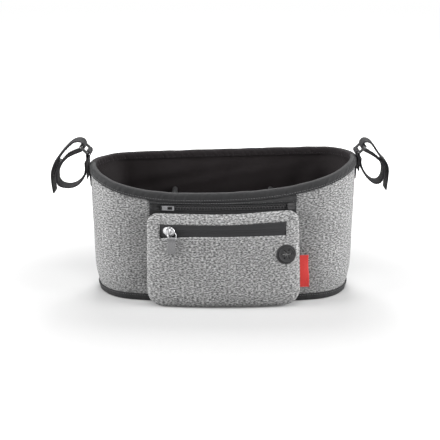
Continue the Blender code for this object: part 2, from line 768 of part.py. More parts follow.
def make_wallet_slider():
    """Round cast slider of the wallet, its wire loop and the folded ribbon on the loop."""
    steel = material("polished_nickel", (0.72, 0.72, 0.73), 0.25, 1.0)
    cloth = material("grey_ribbon", (0.16, 0.16, 0.165), 0.8)
    mid = (WINDOW_TOP + WINDOW_BOTTOM) / 2
    surface = wallet_front(WALLET_SLIDER_U, mid)
    front = coil_front(WALLET_SLIDER_U) + GAP
    plate_top = front + SLIDER_PLATE
    back_top = coil_front(WALLET_SLIDER_U) - COIL_TAPE - GAP
    pivot_z = surface + PIVOT_LIFT
    half = WALLET_SLIDER_LENGTH / 2
    drop = []
    for i in range(20):
        angle = 2 * math.pi * i / 20
        taper = 1 - 0.22 * math.cos(angle)
        drop.append((half * math.cos(angle), WALLET_SLIDER_HALF * taper * math.sin(angle)))
    reach = LOOP_WIRE + GAP
    leg = 0.0010
    pivot_y = 0.0008
    arch_top = pivot_z + reach + leg
    neck = (-WALLET_SLIDER_LENGTH * 0.44, -WALLET_SLIDER_LENGTH * 0.20)
    parts = [prism(drop, front, plate_top),
             prism([(x * 0.9, y * 0.85) for x, y in drop], back_top - SLIDER_PLATE, back_top),
             box(neck[0], neck[1], -0.0011, 0.0011, back_top - SLIDER_PLATE, plate_top),
             box(-0.0013, 0.0013, pivot_y + reach, pivot_y + reach + leg, plate_top, arch_top),
             box(-0.0013, 0.0013, pivot_y - reach - leg, pivot_y - reach, plate_top, arch_top),
             box(-0.0013, 0.0013, pivot_y - reach - leg, pivot_y + reach + leg,
                 arch_top - leg, arch_top)]
    slider = shape("wallet_slider", parts, [], steel)
    slider.matrix_world = wall_frame(WALLET_SLIDER_U, mid, 0.0)

    place = wall_frame(WALLET_SLIDER_U, mid, 0.0) @ Matrix.Translation((0, pivot_y, pivot_z))
    low = -LOOP_LENGTH
    flat = RIBBON_WIDTH / 2 + GAP
    wide = flat + 2 * LOOP_WIRE
    narrow = wide * 0.42
    path = [(-flat, low, 0), (0, low, 0), (flat, low, 0), (wide - LOOP_WIRE * 0.5, low + LOOP_WIRE * 0.5, 0),
            (wide, low + 2 * LOOP_WIRE, 0), (narrow + LOOP_WIRE, -LOOP_WIRE, 0), (narrow, 0, 0),
            (0, 0, 0), (-narrow, 0, 0), (-narrow - LOOP_WIRE, -LOOP_WIRE, 0),
            (-wide, low + 2 * LOOP_WIRE, 0), (LOOP_WIRE * 0.5 - wide, low + LOOP_WIRE * 0.5, 0)]
    path = [place @ Vector(p) for p in path]
    bent_tube("wallet_loop", path, LOOP_WIRE, steel)

    bar = -LOOP_LENGTH
    wrap = LOOP_WIRE + GAP + RIBBON_THICK / 2
    close = RIBBON_THICK / 2 + GAP / 2
    line = [(-close, bar - RIBBON_LENGTH), (-close, bar - wrap * 2.2), (-wrap, bar - wrap * 0.6)]
    for i in range(5):
        angle = math.pi - math.pi * i / 4
        line.append((wrap * math.cos(angle), bar + wrap * math.sin(angle)))
    line += [(wrap, bar - wrap * 0.6), (close, bar - wrap * 2.2), (close, bar - RIBBON_LENGTH)]

    def hang(x, y, z):
        return place @ Vector((y, z, x))
    ribbon("ribbon_pull", line, RIBBON_WIDTH, RIBBON_THICK, hang, cloth)


def make_port():
    """Round rubber port for a cable, with slits that meet in its middle."""
    rubber = material("black_rubber", (0.055, 0.055, 0.058), 0.6)
    sides = 28
    profile = [(0.0, 0.0), (PORT_RADIUS, 0.0), (PORT_RADIUS, PORT_THICK * 0.6),
               (PORT_RADIUS - 0.0006, PORT_THICK), (PORT_STEP_RADIUS, PORT_THICK),
               (PORT_STEP_RADIUS - 0.0004, PORT_THICK + PORT_STEP),
               (SLIT_REACH + 0.0006, PORT_THICK + PORT_STEP), (0.0, PORT_THICK + PORT_STEP)]
    lines = []
    for i in range(sides):
        angle = 2 * math.pi * i / sides
        lines.append([(r * math.cos(angle), r * math.sin(angle), h) for r, h in profile])
    count = len(profile)
    points = [p for line in lines for p in line]
    faces = []
    for i in range(sides):
        j = (i + 1) % sides
        for k in range(count - 1):
            faces.append((i * count + k, i * count + k + 1, j * count + k + 1, j * count + k))
    cuts = []
    for i in range(3):
        turn = math.radians(60 * i)
        corners = []
        for x, y in ((-1, -1), (1, -1), (1, 1), (-1, 1)):
            a = x * SLIT_REACH
            b = y * SLIT_WIDTH / 2
            corners.append((a * math.cos(turn) - b * math.sin(turn),
                            a * math.sin(turn) + b * math.cos(turn)))
        cuts.append(prism(corners, -0.001, 0.004))
    port = shape("headphone_port", [(points, faces)], cuts, rubber)
    for vert in port.data.vertices:
        u = PORT_U + vert.co.x
        z = PORT_Z + vert.co.y
        vert.co = on_wall(u, z, wallet_front(u, z) + GAP + vert.co.z)


def make_tag():
    """Folded ribbon tag in the wallet's right side seam, bare on both faces."""
    red = material("red_ribbon", (0.55, 0.02, 0.03), 0.7)
    start = WALLET_HALF + GAP
    end = start + TAG_REACH
    middle = SHELL_OUT
    inner = middle - GAP / 2 - TAG_THICK
    outer = middle + GAP / 2 + TAG_THICK
    marks = [(start, inner), (end - 0.0005, inner), (end, middle), (end - 0.0005, outer),
             (start, outer), (start, middle + GAP / 2), (end - TAG_THICK, middle + GAP / 2),
             (end - TAG_THICK, middle - GAP / 2), (start, middle - GAP / 2)]
    rings = [[on_wall(u, z, out) for u, out in marks] for z in steps(TAG_LOW, TAG_HIGH, 0.014)]
    sweep("side_tag", rings, red)


def curve_through(points, per_span):
    """Smooth curve through the points, each span cut into the same number of steps."""
    points = np.asarray(points, float)
    ends = np.vstack([2 * points[0] - points[1], points, 2 * points[-1] - points[-2]])
    out = []
    for i in range(len(points) - 1):
        a, b, c, d = ends[i:i + 4]
        for k in range(per_span):
            s = k / per_span
            out.append(0.5 * (2 * b + (c - a) * s + (2 * a - 5 * b + 4 * c - d) * s * s
                              + (3 * b - a - 3 * c + d) * s ** 3))
    out.append(points[-1])
    return np.array(out)


def shifted(line, distance):
    """The line moved sideways, away from the handlebar's side."""
    along = np.gradient(line, axis=0)
    along /= np.linalg.norm(along, axis=1)[:, None]
    return line + np.stack([along[:, 1], -along[:, 0]], 1) * distance


def make_straps():
    """Anchor webbing, ring, strap and grip tapes at both ends, mirrored."""
    webbing = material("strap_webbing", BLACK, 0.7)
    tab_cloth = material("anchor_webbing", (0.12, 0.12, 0.125), 0.8)
    metal = material("ring_black", (0.03, 0.03, 0.032), 0.25, 0.9)
    hooks = material("grip_tape", (0.03, 0.03, 0.03), 0.9)
    side_y = plan_values(SIDE_RIM_Z)[3]
    loop = curve_through(STRAP_ROUTE[:12], 3)
    contact = loop[8 * 3:11 * 3 - 1]
    stack = STRAP_THICK + 2 * GRIP_TAPE + 3 * GAP
    tail = shifted(contact, stack)[::-1]
    strap_line = np.vstack([loop, curve_through(STRAP_ROUTE[11:], 3)[1:], tail,
                            curve_through(TAIL_END, 2)])
    wrap = RING_WIRE + GAP + ANCHOR_THICK / 2
    over = GAP + BINDING + GAP + ANCHOR_THICK / 2
    near = GAP + ANCHOR_THICK / 2
    low_x = near - (TOP_HALF - BASE_HALF) * ANCHOR_LOW / SIDE_RIM_Z
    under_x = near - (TOP_HALF - BASE_HALF) * BINDING_DROP / SIDE_RIM_Z
    tab_line = [(low_x, -ANCHOR_LOW), (under_x, -BINDING_DROP - 0.002),
                (over, GAP - BINDING_DROP), (over, 0.0006), (RING_X - wrap * 0.93, RING_Z - wrap * 0.5)]
    for i in range(7):
        angle = math.radians(180 - 30 * i)
        tab_line.append((RING_X + wrap * math.cos(angle), RING_Z + wrap * math.sin(angle)))
    outside = over + ANCHOR_THICK + GAP
    tab_line += [(outside, 0.0006), (outside, -ANCHOR_RETURN)]
    half_y = STRAP_WIDTH / 2 + 0.001 + RING_WIRE
    for side, turn in (("left", -1), ("right", 1)):
        corner_z = rim_height(2.0 * turn)
        corner_x = wall_point(2.0, corner_z, 0.0)[0]

        def place(x, y, z, turn=turn, corner_x=corner_x, corner_z=corner_z):
            return (corner_x + x) * turn, side_y + y, corner_z + z
        ribbon(side + "_anchor_tab", tab_line, STRAP_WIDTH, ANCHOR_THICK, place, tab_cloth)
        ribbon(side + "_strap", strap_line, STRAP_WIDTH, STRAP_THICK, place, webbing)
        first = STRAP_THICK / 2 + GAP + GRIP_TAPE / 2
        for kind, offset in (("_loop_tape", first), ("_hook_tape", first + GRIP_TAPE + GAP)):
            ribbon(side + kind, shifted(contact, offset)[1:-1], STRAP_WIDTH - 0.003, GRIP_TAPE,
                   place, hooks)
        path = []
        for lx, ly in round_outline(0.0, 1.0, -1.0, 1.0, 0.22, 4):
            path.append(place(RING_X + RING_REACH_X * lx, half_y * ly, RING_Z + RING_REACH_Z * lx))
        bent_tube(side + "_ring", path, RING_WIRE, metal)


remove_all()
make_walls()
make_inside()
make_dividers()
make_upper_zipper()
make_wallet()
make_wallet_slider()
make_port()
make_tag()
make_straps()
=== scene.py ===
import math

import bmesh
import bpy
import numpy as np
from mathutils import Matrix


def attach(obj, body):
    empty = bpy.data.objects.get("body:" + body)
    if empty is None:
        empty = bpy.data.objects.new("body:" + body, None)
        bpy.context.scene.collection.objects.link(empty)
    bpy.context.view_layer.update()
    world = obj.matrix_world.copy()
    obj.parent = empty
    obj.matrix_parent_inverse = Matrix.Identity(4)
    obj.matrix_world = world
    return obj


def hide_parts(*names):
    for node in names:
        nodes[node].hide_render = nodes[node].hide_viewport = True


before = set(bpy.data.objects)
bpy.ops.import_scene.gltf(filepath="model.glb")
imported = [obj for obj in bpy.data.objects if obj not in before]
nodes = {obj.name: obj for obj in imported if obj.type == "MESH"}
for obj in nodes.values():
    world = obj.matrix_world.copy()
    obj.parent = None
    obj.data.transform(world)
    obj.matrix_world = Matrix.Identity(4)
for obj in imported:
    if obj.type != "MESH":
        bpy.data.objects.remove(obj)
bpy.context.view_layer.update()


# Camera. A long lens looks slightly down on the front of the bag, square to its middle.
AXIS_Y = 0.5121075511
AIM = np.array([-0.0035, AXIS_Y - 0.4826, 0.0819])
DISTANCE = 1.2764
LOOK_DOWN, LOOK_ASIDE = math.radians(17.23), math.radians(0.16)


def unit(v):
    """A vector, or each vector of an array, at length one."""
    return v / np.linalg.norm(v, axis=-1, keepdims=True)


def facing(place, away):
    """Pose of a camera or lamp at a place, turned away from a direction."""
    side = unit(np.cross((0.0, 0.0, 1.0), away))
    turned = Matrix(np.stack([side, np.cross(away, side), away], 1).tolist()).to_4x4()
    return Matrix.Translation(tuple(place)) @ turned


back = np.array([math.sin(LOOK_ASIDE) * math.cos(LOOK_DOWN),
                 -math.cos(LOOK_ASIDE) * math.cos(LOOK_DOWN), math.sin(LOOK_DOWN)])
camera = bpy.data.objects.new("camera", bpy.data.cameras.new("camera"))
camera.data.lens = 81.56
camera.data.sensor_width = 36.0
camera.data.clip_end = 20.0
camera.matrix_world = facing(AIM + back * DISTANCE, back)
bpy.context.collection.objects.link(camera)
bpy.context.scene.camera = camera


# Studio. Two large soft lamps far round to the sides graze the front, so that it turns darker
# towards the middle and the wallet shades the walls beside it; a weak lamp above the front fills
# the inside and one behind lights the back. The pale floor keeps the bag's shadow.
scene = bpy.context.scene
scene.view_settings.view_transform = "Standard"


class Wire:
    """A socket of a node tree. Arithmetic on wires adds Math nodes; node() adds any other."""

    def __init__(self, tree, socket=None):
        self.tree = tree
        self.socket = socket

    def node(self, kind, inputs=None, out=0, **settings):
        """Add a node of a kind, set or link its inputs, and give one of its outputs."""
        made = self.tree.nodes.new("ShaderNode" + kind)
        stops = settings.pop("stops", None)
        for key, value in settings.items():
            setattr(made, key, value)
        if stops:
            ramp = made.color_ramp.elements
            while len(ramp) < len(stops):
                ramp.new(0.5)
            for stop, (place, shade) in zip(ramp, stops):
                stop.position = place
                stop.color = (*shade, 1.0) if isinstance(shade, tuple) else (shade, shade, shade, 1.0)
        for key, value in (inputs or {}).items():
            if isinstance(value, Wire):
                self.tree.links.new(value.socket, made.inputs[key])
            else:
                made.inputs[key].default_value = value
        return Wire(self.tree, made.outputs[out])

    def maths(self, operation, *values):
        """Add a Math node for an operation on numbers and wires."""
        return self.node("Math", dict(enumerate(values)), operation=operation)

    def __add__(self, other):
        return self.maths("ADD", self, other)

    def __sub__(self, other):
        return self.maths("SUBTRACT", self, other)

    def __rsub__(self, other):
        return self.maths("SUBTRACT", other, self)

    def __mul__(self, other):
        return self.maths("MULTIPLY", self, other)

    def __pow__(self, other):
        return self.maths("POWER", self, other)

    __radd__ = __add__
    __rmul__ = __mul__

    def blend(self, low, high):
        """This wire as the share of high over low, both colours."""
        colours = {6: (*low, 1.0), 7: (*high, 1.0)}
        return self.node("Mix", {0: self, **colours}, out=2, data_type="RGBA")

    def other(self, name):
        """Another output of the node that this wire comes from."""
        return Wire(self.tree, self.socket.node.outputs[name])

    def wave(self, pitch, shift=None):
        """Sine waves a pitch apart along this wire, shifted by another wire."""
        turns = self * (2 * math.pi / pitch)
        return self.maths("SINE", turns if shift is None else turns + shift)


world = bpy.data.worlds.new("white_room")
scene.world = world
world.use_nodes = True
room = Wire(world.node_tree)
path = room.node("LightPath")
seen = room.maths("MAXIMUM", path.other("Is Camera Ray"), path.other("Is Glossy Ray"))
seen = room.maths("MAXIMUM", seen, path.other("Is Transmission Ray"))
ROOM_LIGHT = 0.12
backdrop = world.node_tree.nodes["Background"]
backdrop.inputs["Color"].default_value = (1.0, 1.0, 1.0, 1.0)
world.node_tree.links.new((seen * (1.0 - ROOM_LIGHT) + ROOM_LIGHT).socket,
                          backdrop.inputs["Strength"])

for label, place, aim_z, size, watts in (("right_lamp", (1.36, -0.34, 0.60), 0.08, 0.7, 26.0),
                                         ("left_lamp", (-1.36, -0.30, 0.60), 0.08, 0.7, 23.0),
                                         ("front_lamp", (0.06, -0.80, 1.50), 0.10, 0.9, 9.0),
                                         ("back_lamp", (0.00, 0.90, 1.20), 0.08, 0.7, 16.0)):
    light = bpy.data.lights.new(label, "AREA")
    light.size = size
    light.energy = watts
    lamp = bpy.data.objects.new(label, light)
    lamp.matrix_world = facing(place, unit(np.array(place) - (0.0, 0.0, aim_z)))
    bpy.context.collection.objects.link(lamp)

FLOOR_REACH, FLOOR_DROP = 4.0, 0.0002
FLOOR_SHADE, SHOWN_LIGHTER = 0.34, 0.26
NEAR_GLOW, FAR_GLOW, GLOW_FROM, GLOW_TO = 0.06, 0.85, 0.20, 0.70
floor_mesh = bpy.data.meshes.new("floor")
corners = np.array([[-1, -1], [1, -1], [1, 1], [-1, 1]]) * FLOOR_REACH
floor_mesh.from_pydata([(x, y, -FLOOR_DROP) for x, y in corners], [], [(0, 1, 2, 3)])
floor = bpy.data.objects.new("floor", floor_mesh)
bpy.context.collection.objects.link(floor)
paper = bpy.data.materials.new("white_paper")
paper.use_nodes = True
sheen = Wire(paper.node_tree)
path = sheen.node("LightPath")
shown = sheen.maths("MAXIMUM", path.other("Is Camera Ray"), path.other("Is Glossy Ray"))
distance = sheen.node("VectorMath", {0: sheen.node("TexCoord", out="Object")}, out="Value",
                      operation="LENGTH")
far = sheen.node("MapRange", {"Value": distance, "From Min": GLOW_FROM, "From Max": GLOW_TO},
                 interpolation_type="SMOOTHSTEP")
matte = paper.node_tree.nodes["Principled BSDF"]
matte.inputs["Roughness"].default_value = 1.0
matte.inputs["Specular IOR Level"].default_value = 0.0
matte.inputs["Emission Color"].default_value = (1.0, 1.0, 1.0, 1.0)
paper.node_tree.links.new((shown * SHOWN_LIGHTER + FLOOR_SHADE).socket, matte.inputs["Base Color"])
paper.node_tree.links.new((shown * (far * FAR_GLOW + NEAR_GLOW)).socket,
                          matte.inputs["Emission Strength"])
floor_mesh.materials.append(paper)


# Padded walls. Two heather panels, knit bonded to thin foam, sewn together at the sides; the
# front one is low in the middle and the wallet hangs before it. Their outline is arcs that meet
# smoothly: a wide front arc, tighter side and rear rounds and a straight back.
TOP_HALF, BASE_HALF = 0.165, 0.160
FRONT_TOP, FRONT_BASE = 0.0774, 0.0836
FRONT_RIM_Z, SIDE_RIM_Z, BACK_RIM_Z = 0.1395, 0.1650, 0.1665
FRONT_ARC = 0.560
SIDE_TOP, SIDE_BASE = 0.062, 0.056
REAR_TOP, REAR_BASE = 0.0434, 0.048
TUCK, TUCK_HEIGHT = 0.005, 0.038
RIM_LOW_X, RIM_LIFT = -0.014, 0.030
FRONT_RIM_POWER, BACK_RIM_POWER = 2.9, 4.0
GAP, WALL, LINING, BINDING = 0.0003, 0.0030, 0.0010, 0.0012
BINDING_DROP, INSIDE_DROP, BASE_BAND = 0.0105, 0.0090, 0.0095
MERGE = 0.000002
CHAIN_Z, HANG_OUT, FRONT_LEAN = 0.1220, 0.0079, math.radians(0.63)


def cone(z):
    """Radius of the front wall's cone at height z, a straight line between two radii."""
    return FRONT_ARC - FRONT_TOP + FRONT_BASE + (FRONT_TOP - FRONT_BASE) * z / FRONT_RIM_Z


def section(z):
    """Plan of the wall at height z: how far it is drawn in at the base, its half width, the
    radii of its side and rear rounds, and the y of the side round's middle."""
    draw = TUCK * np.clip(1 - z / TUCK_HEIGHT, 0, None) ** 2
    share = z / SIDE_RIM_Z
    half, side, rear = (base + (top - base) * share - draw for base, top in (
        (BASE_HALF, TOP_HALF), (SIDE_BASE, SIDE_TOP), (REAR_BASE, REAR_TOP)))
    side_y = AXIS_Y - np.sqrt((cone(z) - draw - side) ** 2 - (half - side) ** 2)
    return draw, half, side, rear, side_y


def wall(t, z, out):
    """Point at station t, height z and a distance out from the cloth. Stations 0 to 1 run along
    the front arc, 1 to 2 and 2 to 3 round the side and rear, 3 to 4 along the back."""
    t, z, out = np.broadcast_arrays(np.asarray(t, float), z, out)
    draw, half, side, rear, side_y = section(z)
    radius = cone(z) - draw
    end = np.arcsin((half - side) / (radius - side))
    place = np.abs(t)
    front = end * np.minimum(place, 1)
    turn = end + (math.pi / 2 - end) * np.clip(place - 1, 0, 1)
    swing = math.pi / 2 * np.clip(place - 2, 0, 1)
    parts = [place <= 1, place <= 2, place <= 3]
    x = np.select(parts, [(radius + out) * np.sin(front), half - side + (side + out) * np.sin(turn),
                          half - rear + (rear + out) * np.cos(swing)], (half - rear) * (4 - place))
    y = np.select(parts, [AXIS_Y - (radius + out) * np.cos(front),
                          side_y - (side + out) * np.cos(turn),
                          side_y + (rear + out) * np.sin(swing)], side_y + rear + out)
    return np.stack([x * np.sign(t + 1e-12), y, z + 0.0 * x], -1)


def front_rise(x):
    """Height of the front rim at x: a power curve up from its low point to the side corners,
    and the right side a little higher."""
    span = TOP_HALF - np.sign(x - RIM_LOW_X) * RIM_LOW_X
    share = np.clip(np.abs(x - RIM_LOW_X) / span, 0, 1) ** FRONT_RIM_POWER
    return FRONT_RIM_Z + (SIDE_RIM_Z - FRONT_RIM_Z) * share + RIM_LIFT * x


def rim(t):
    """Height of the rim at station t: the front's curve, and nearly level behind."""
    x = wall(t, SIDE_RIM_Z, 0.0)[..., 0]
    behind = SIDE_RIM_Z + (BACK_RIM_Z - SIDE_RIM_Z) * (1 - np.abs(x / TOP_HALF) ** BACK_RIM_POWER)
    return np.where(np.abs(t) > 2, behind + RIM_LIFT * x, front_rise(x))


def run_of(points):
    """Length of a line up to each of its points."""
    steps = np.linalg.norm(np.diff(points, axis=0), axis=1)
    return np.concatenate([[0], np.cumsum(steps)])


marks = np.linspace(-4, 4, 1601)
lengths = run_of(wall(marks, 0.09, 0.0))
lengths -= np.interp(0, marks, lengths)
ROUND = lengths[-1] - lengths[0]


def along(t):
    """Length of cloth from the middle of the front to station t."""
    return np.interp(t, marks, lengths)


def station(s):
    """Station at a length of cloth s from the middle of the front, going round and round."""
    return np.interp((s + ROUND / 2) % ROUND - ROUND / 2, lengths, marks)


def ripple(s, size, seed):
    """Uneven waves along s: four sines whose lengths don't divide one another, about -1 to 1."""
    waves = [np.sin(2 * math.pi * s / (size * k) + seed * p) for k, p in
             ((1.0, 1.7), (1.37, 2.9), (0.71, 4.1), (2.23, 5.3))]
    return (waves[0] + 0.8 * waves[1] + 0.5 * waves[2] + 0.7 * waves[3]) / 2.2


def circle(count):
    """Angles all the way round, evenly spread."""
    return np.arange(count) * 2 * math.pi / count


def crowded(count):
    """Shares from 0 to 1, closer together at both ends, where a sheet's edge is rounded."""
    return (1 - np.cos(np.linspace(0, math.pi, count)))[None, :] / 2


def ease(x, low, high):
    """Smooth step from 0 at low to 1 at high."""
    share = np.clip((x - low) / (high - low), 0, 1)
    return share * share * (3 - 2 * share)


def piece(name, body, slot, finish, points, faces, uv=None, replaced=()):
    """Make a mesh piece from points and faces, merge what meets, turn its faces outwards, and
    let it ride. A piece's own map uv, given for each point, is in metres of cloth."""
    mesh = bpy.data.meshes.new(name)
    mesh.from_pydata(points.reshape(-1, 3).tolist(), [],
                     faces if isinstance(faces, list) else faces.tolist())
    if uv is not None:
        corner = np.empty(len(mesh.loops), np.int32)
        mesh.loops.foreach_get("vertex_index", corner)
        flat_map = uv.reshape(-1, 2)[corner].astype(np.float32)
        mesh.uv_layers.new(name="cloth").data.foreach_set("uv", flat_map.ravel())
    work = bmesh.new()
    work.from_mesh(mesh)
    bmesh.ops.remove_doubles(work, verts=work.verts, dist=MERGE)
    bmesh.ops.recalc_face_normals(work, faces=work.faces)
    work.to_mesh(mesh)
    work.free()
    mesh.shade_smooth()
    mesh.set_sharp_from_angle(angle=math.radians(50))
    mesh.materials.append(finish)
    thing = bpy.data.objects.new(name, mesh)
    bpy.context.collection.objects.link(thing)
    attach(thing, body)
    if replaced:
        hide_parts(*replaced)
    return thing


def lattice(rows, columns, around=False, across=False, start=0):
    """Quads of a grid of rows by columns, closed round its rows, its columns or neither."""
    i = np.arange(rows if around else rows - 1)[:, None]
    j = np.arange(columns if across else columns - 1)[None, :]
    n, m = (i + 1) % rows, (j + 1) % columns
    quads = np.stack([i * columns + j, n * columns + j, n * columns + m, i * columns + m], -1)
    return quads.reshape(-1, 4) + start


def slab(front, rear):
    """Faces that close two equal grids into one padded sheet: both grids and the strip between
    their edges. The rear grid's points follow the front's."""
    rows, columns = front.shape[:2]
    size = rows * columns
    edge = np.concatenate([np.arange(columns), np.arange(2 * columns - 1, size, columns),
                           np.arange(size - 2, size - columns - 1, -1),
                           np.arange(size - 2 * columns, 0, -columns)])
    step = np.roll(edge, -1)
    strip = np.stack([edge, step, step + size, edge + size], -1)
    faces = np.concatenate([lattice(rows, columns), lattice(rows, columns, start=size), strip])
    return np.concatenate([front.reshape(-1, 3), rear.reshape(-1, 3)]), faces


def sheet(name, slot, finish, front, rear, u, z, replaced, padding=0.0):
    """A sheet of cloth between two grids of points, its map given by u and z; padding is not used."""
    points, faces = slab(front, rear)
    uv = np.stack(np.broadcast_arrays(u, z), -1).reshape(-1, 2)
    thing = piece(name, "organizer", slot, finish, points, faces, np.concatenate([uv, uv]),
                  replaced=replaced)


def capped(rings, size, count=1):
    """Faces of a tube of rings of a size, closed at both ends, or of a count of such tubes."""
    whole = rings * size
    each = lattice(rings, size, across=True)
    faces = (each[None] + (np.arange(count) * whole)[:, None, None]).reshape(-1, 4).tolist()
    for first in range(0, count * whole, whole):
        faces.append(list(range(first, first + size)))
        faces.append(list(range(first + whole - size, first + whole)))
    return faces


def swept(name, body, slot, finish, points, u, v, replaced=()):
    """A piece swept from rings of points and closed at both ends, its map given by u and v."""
    uv = np.stack(np.broadcast_arrays(u, v), -1)
    piece(name, body, slot, finish, points, capped(*points.shape[:2]), uv, replaced)


def new_finish(name, constants, links):
    """A material with constants set on its shader's sockets; links(wire) gives what varies."""
    stuff = bpy.data.materials.new(name)
    stuff.use_nodes = True
    shader = stuff.node_tree.nodes["Principled BSDF"]
    for key, value in constants.items():
        shader.inputs[key].default_value = value
    wire = Wire(stuff.node_tree)
    for key, value in links(wire).items():
        stuff.node_tree.links.new(value.socket, shader.inputs[key])
    return stuff


def cloth_map(wire, scale):
    """The piece's own map in metres, times a scale for each direction."""
    return wire.node("Mapping", {0: wire.node("TexCoord", out="UV"), "Scale": (*scale, 1.0)})


def directions(wire):
    """The two directions of the piece's own map, in metres."""
    u = wire.node("SeparateXYZ", {0: cloth_map(wire, (1.0, 1.0))})
    return u, u.other("Y")


def noise(wire, place, size, detail=2.0, rough=0.5):
    """Soft noise, size features to one unit of place, with finer noise in it."""
    return wire.node("TexNoise", {"Vector": place, "Scale": size, "Detail": detail,
                                  "Roughness": rough})


def speckle(wire, size, detail=2.0, rough=0.5):
    """Soft noise in the piece's own space, size features to a metre."""
    return noise(wire, wire.node("TexCoord", out="Object"), size, detail, rough)


def yarn(wire, across, along_it):
    """Noise on the piece's own map, with so many features to a metre in each direction."""
    return noise(wire, cloth_map(wire, (across, along_it)), 1.0)


def bumps(wire, height, strength, depth):
    """The direction of a surface that a height lifts by up to a depth."""
    return wire.node("Bump", {"Height": height, "Strength": strength, "Distance": depth})


def heather(shade, contrast):
    """Salt-and-pepper knit: short level flecks of light and dark yarn in two sizes, over rows of
    tiny loops, a little lighter and darker from place to place."""
    def links(wire):
        fleck = noise(wire, cloth_map(wire, (350.0, 680.0)), 1.0, 1.0)
        grain = noise(wire, cloth_map(wire, (1100.0, 1700.0)), 1.0, 1.0)
        cloud = yarn(wire, 28.0, 28.0)
        mixed = fleck * 0.66 + grain * 0.34
        level = (mixed - 0.5) * contrast + 0.5 + (cloud - 0.5) * 0.16
        colour = level.node("ValToRGB", {0: level}, stops=[
            (0.0, 0.22 * shade), (0.28, 0.52 * shade), (0.50, shade), (0.72, 1.55 * shade),
            (1.0, 2.35 * shade)])
        u, v = directions(wire)
        row = v.wave(0.0011, u.wave(0.0017) * 1.6)
        return {"Base Color": colour, "Roughness": 0.98 - level * 0.14,
                "Normal": bumps(wire, row * 0.35 + grain * 0.8, 0.35, 0.0004)}
    return links


HEATHER_LOOK = {"Sheen Weight": 0.12, "Sheen Roughness": 0.6, "Specular IOR Level": 0.2}
wall_heather = new_finish("wall_heather", HEATHER_LOOK, heather(0.275, 3.0))
DIP, DIP_FROM, DIP_FULL, DIP_TOP, DIP_BELOW = 0.0026, 0.122, 0.082, 0.115, 0.100
LEAST_OUT, MOST_OUT = -0.0026, 0.0022


def panel(name, first, last, count, rows, replaced):
    """A padded wall panel. Outside, it swells a little between the bindings, dips into short
    uneven puckers where they are sewn, has slow dents as soft foam does, and is drawn in where
    the wallet hangs before it."""
    s = np.linspace(first, last, count)[:, None]
    t = station(s)
    low, top = BINDING + 2 * GAP, rim(t) - BINDING - GAP
    z = low + (top - low) * np.linspace(0, 1, rows)[None, :]
    s = s + 0 * z
    aside = np.abs(s)
    below = top + BINDING + GAP - BINDING_DROP - z
    above = z - BASE_BAND
    clear = ease(aside, 0.088, 0.112)
    swell = 0.0011 * ease(below, 0.0, 0.022) * ease(above, 0.0, 0.026) * clear
    puckers = 0.00050 * ripple(s, 0.0125, 1.0) * np.exp(-np.clip(below, 0, None) / 0.010)
    puckers = puckers + 0.00045 * ripple(s, 0.0150, 4.0) * np.exp(-np.clip(above, 0, None) / 0.011)
    dents = 0.0006 * ripple(s + 0.3 * z, 0.074, 2.0) * ripple(z + 0.2 * s, 0.060, 3.0)
    drawn = DIP * ease(-aside, -DIP_FROM, -DIP_FULL) * ease(-z, -DIP_TOP, -DIP_BELOW)
    hold = ease(below, 0.0, 0.016) * ease(above, 0.0, 0.020)
    dents = dents + hold * 0.0009 * np.exp(-((aside - 0.152) / 0.020) ** 2)
    sewn = ease(below, -0.001, 0.004) * ease(above, -0.001, 0.004)
    groove = -0.0005 * (np.exp(-(below / 0.002) ** 2) + np.exp(-(above / 0.002) ** 2))
    seam = 0.0007 * np.exp(-((np.abs(t) - 2.0) / 0.022) ** 2)
    out = swell + sewn * clear * (puckers + dents) - hold * drawn + groove - seam
    sheet(name, "heather_neoprene", wall_heather, wall(t, z, np.clip(out, LEAST_OUT, MOST_OUT)),
          wall(t, z, -WALL + 0 * z), s, z, replaced, 0.5)


SIDE_SEAM = along(2.0)
FRONT_SPAN = (GAP - SIDE_SEAM, SIDE_SEAM - GAP)
BACK_SPAN = (SIDE_SEAM + GAP, ROUND - SIDE_SEAM - GAP)
panel("front_wall", *FRONT_SPAN, 330, 80, ["outer_front_panel"])
panel("back_wall", *BACK_SPAN, 290, 66, ["outer_back_panel"])


# Rim bindings. A cotton tape folded over the raw edge of wall and lining and sewn through with
# one row of lockstitch. It turns the curve of the rim with slanting wrinkles. Charcoal in front,
# black behind.
def scaled(shade, share):
    """A colour times a share."""
    return tuple(share * c for c in shade)


def woven(wire, shade, pitch, tint=0.10):
    """Colour, bumps and shade level of a plain weave: two crossing sets of threads."""
    u, v = directions(wire)
    thread = u.wave(pitch) * v.wave(pitch)
    fuzz = yarn(wire, 900.0, 900.0)
    cloud = yarn(wire, 45.0, 45.0)
    level = 1.0 + (fuzz - 0.5) * tint * 4 + (cloud - 0.5) * tint * 3 + thread * tint * 0.5
    half = level * 0.5
    colour = half.node("ValToRGB", {0: half}, stops=[
        (0.0, scaled(shade, 0.3)), (0.5, shade), (1.0, scaled(shade, 1.9))])
    return colour, bumps(wire, thread * 0.5 + fuzz, 0.4, 0.0003), level


def tape_cloth(name, shade, pitch, sheen_weight, rough):
    """Woven tape: a plain weave with the low sheen of pressed cotton."""
    def links(wire):
        colour, bump, level = woven(wire, shade, pitch)
        return {"Base Color": colour, "Normal": bump, "Roughness": rough + 0.12 - level * 0.12}
    return new_finish(name, {"Sheen Weight": sheen_weight, "Sheen Roughness": 0.45,
                             "Specular IOR Level": 0.16}, links)


charcoal_tape = tape_cloth("charcoal_tape", (0.036, 0.036, 0.037), 0.0007, 0.03, 0.66)
black_tape = tape_cloth("black_tape", (0.017, 0.0140, 0.0150), 0.0007, 0.02, 0.70)


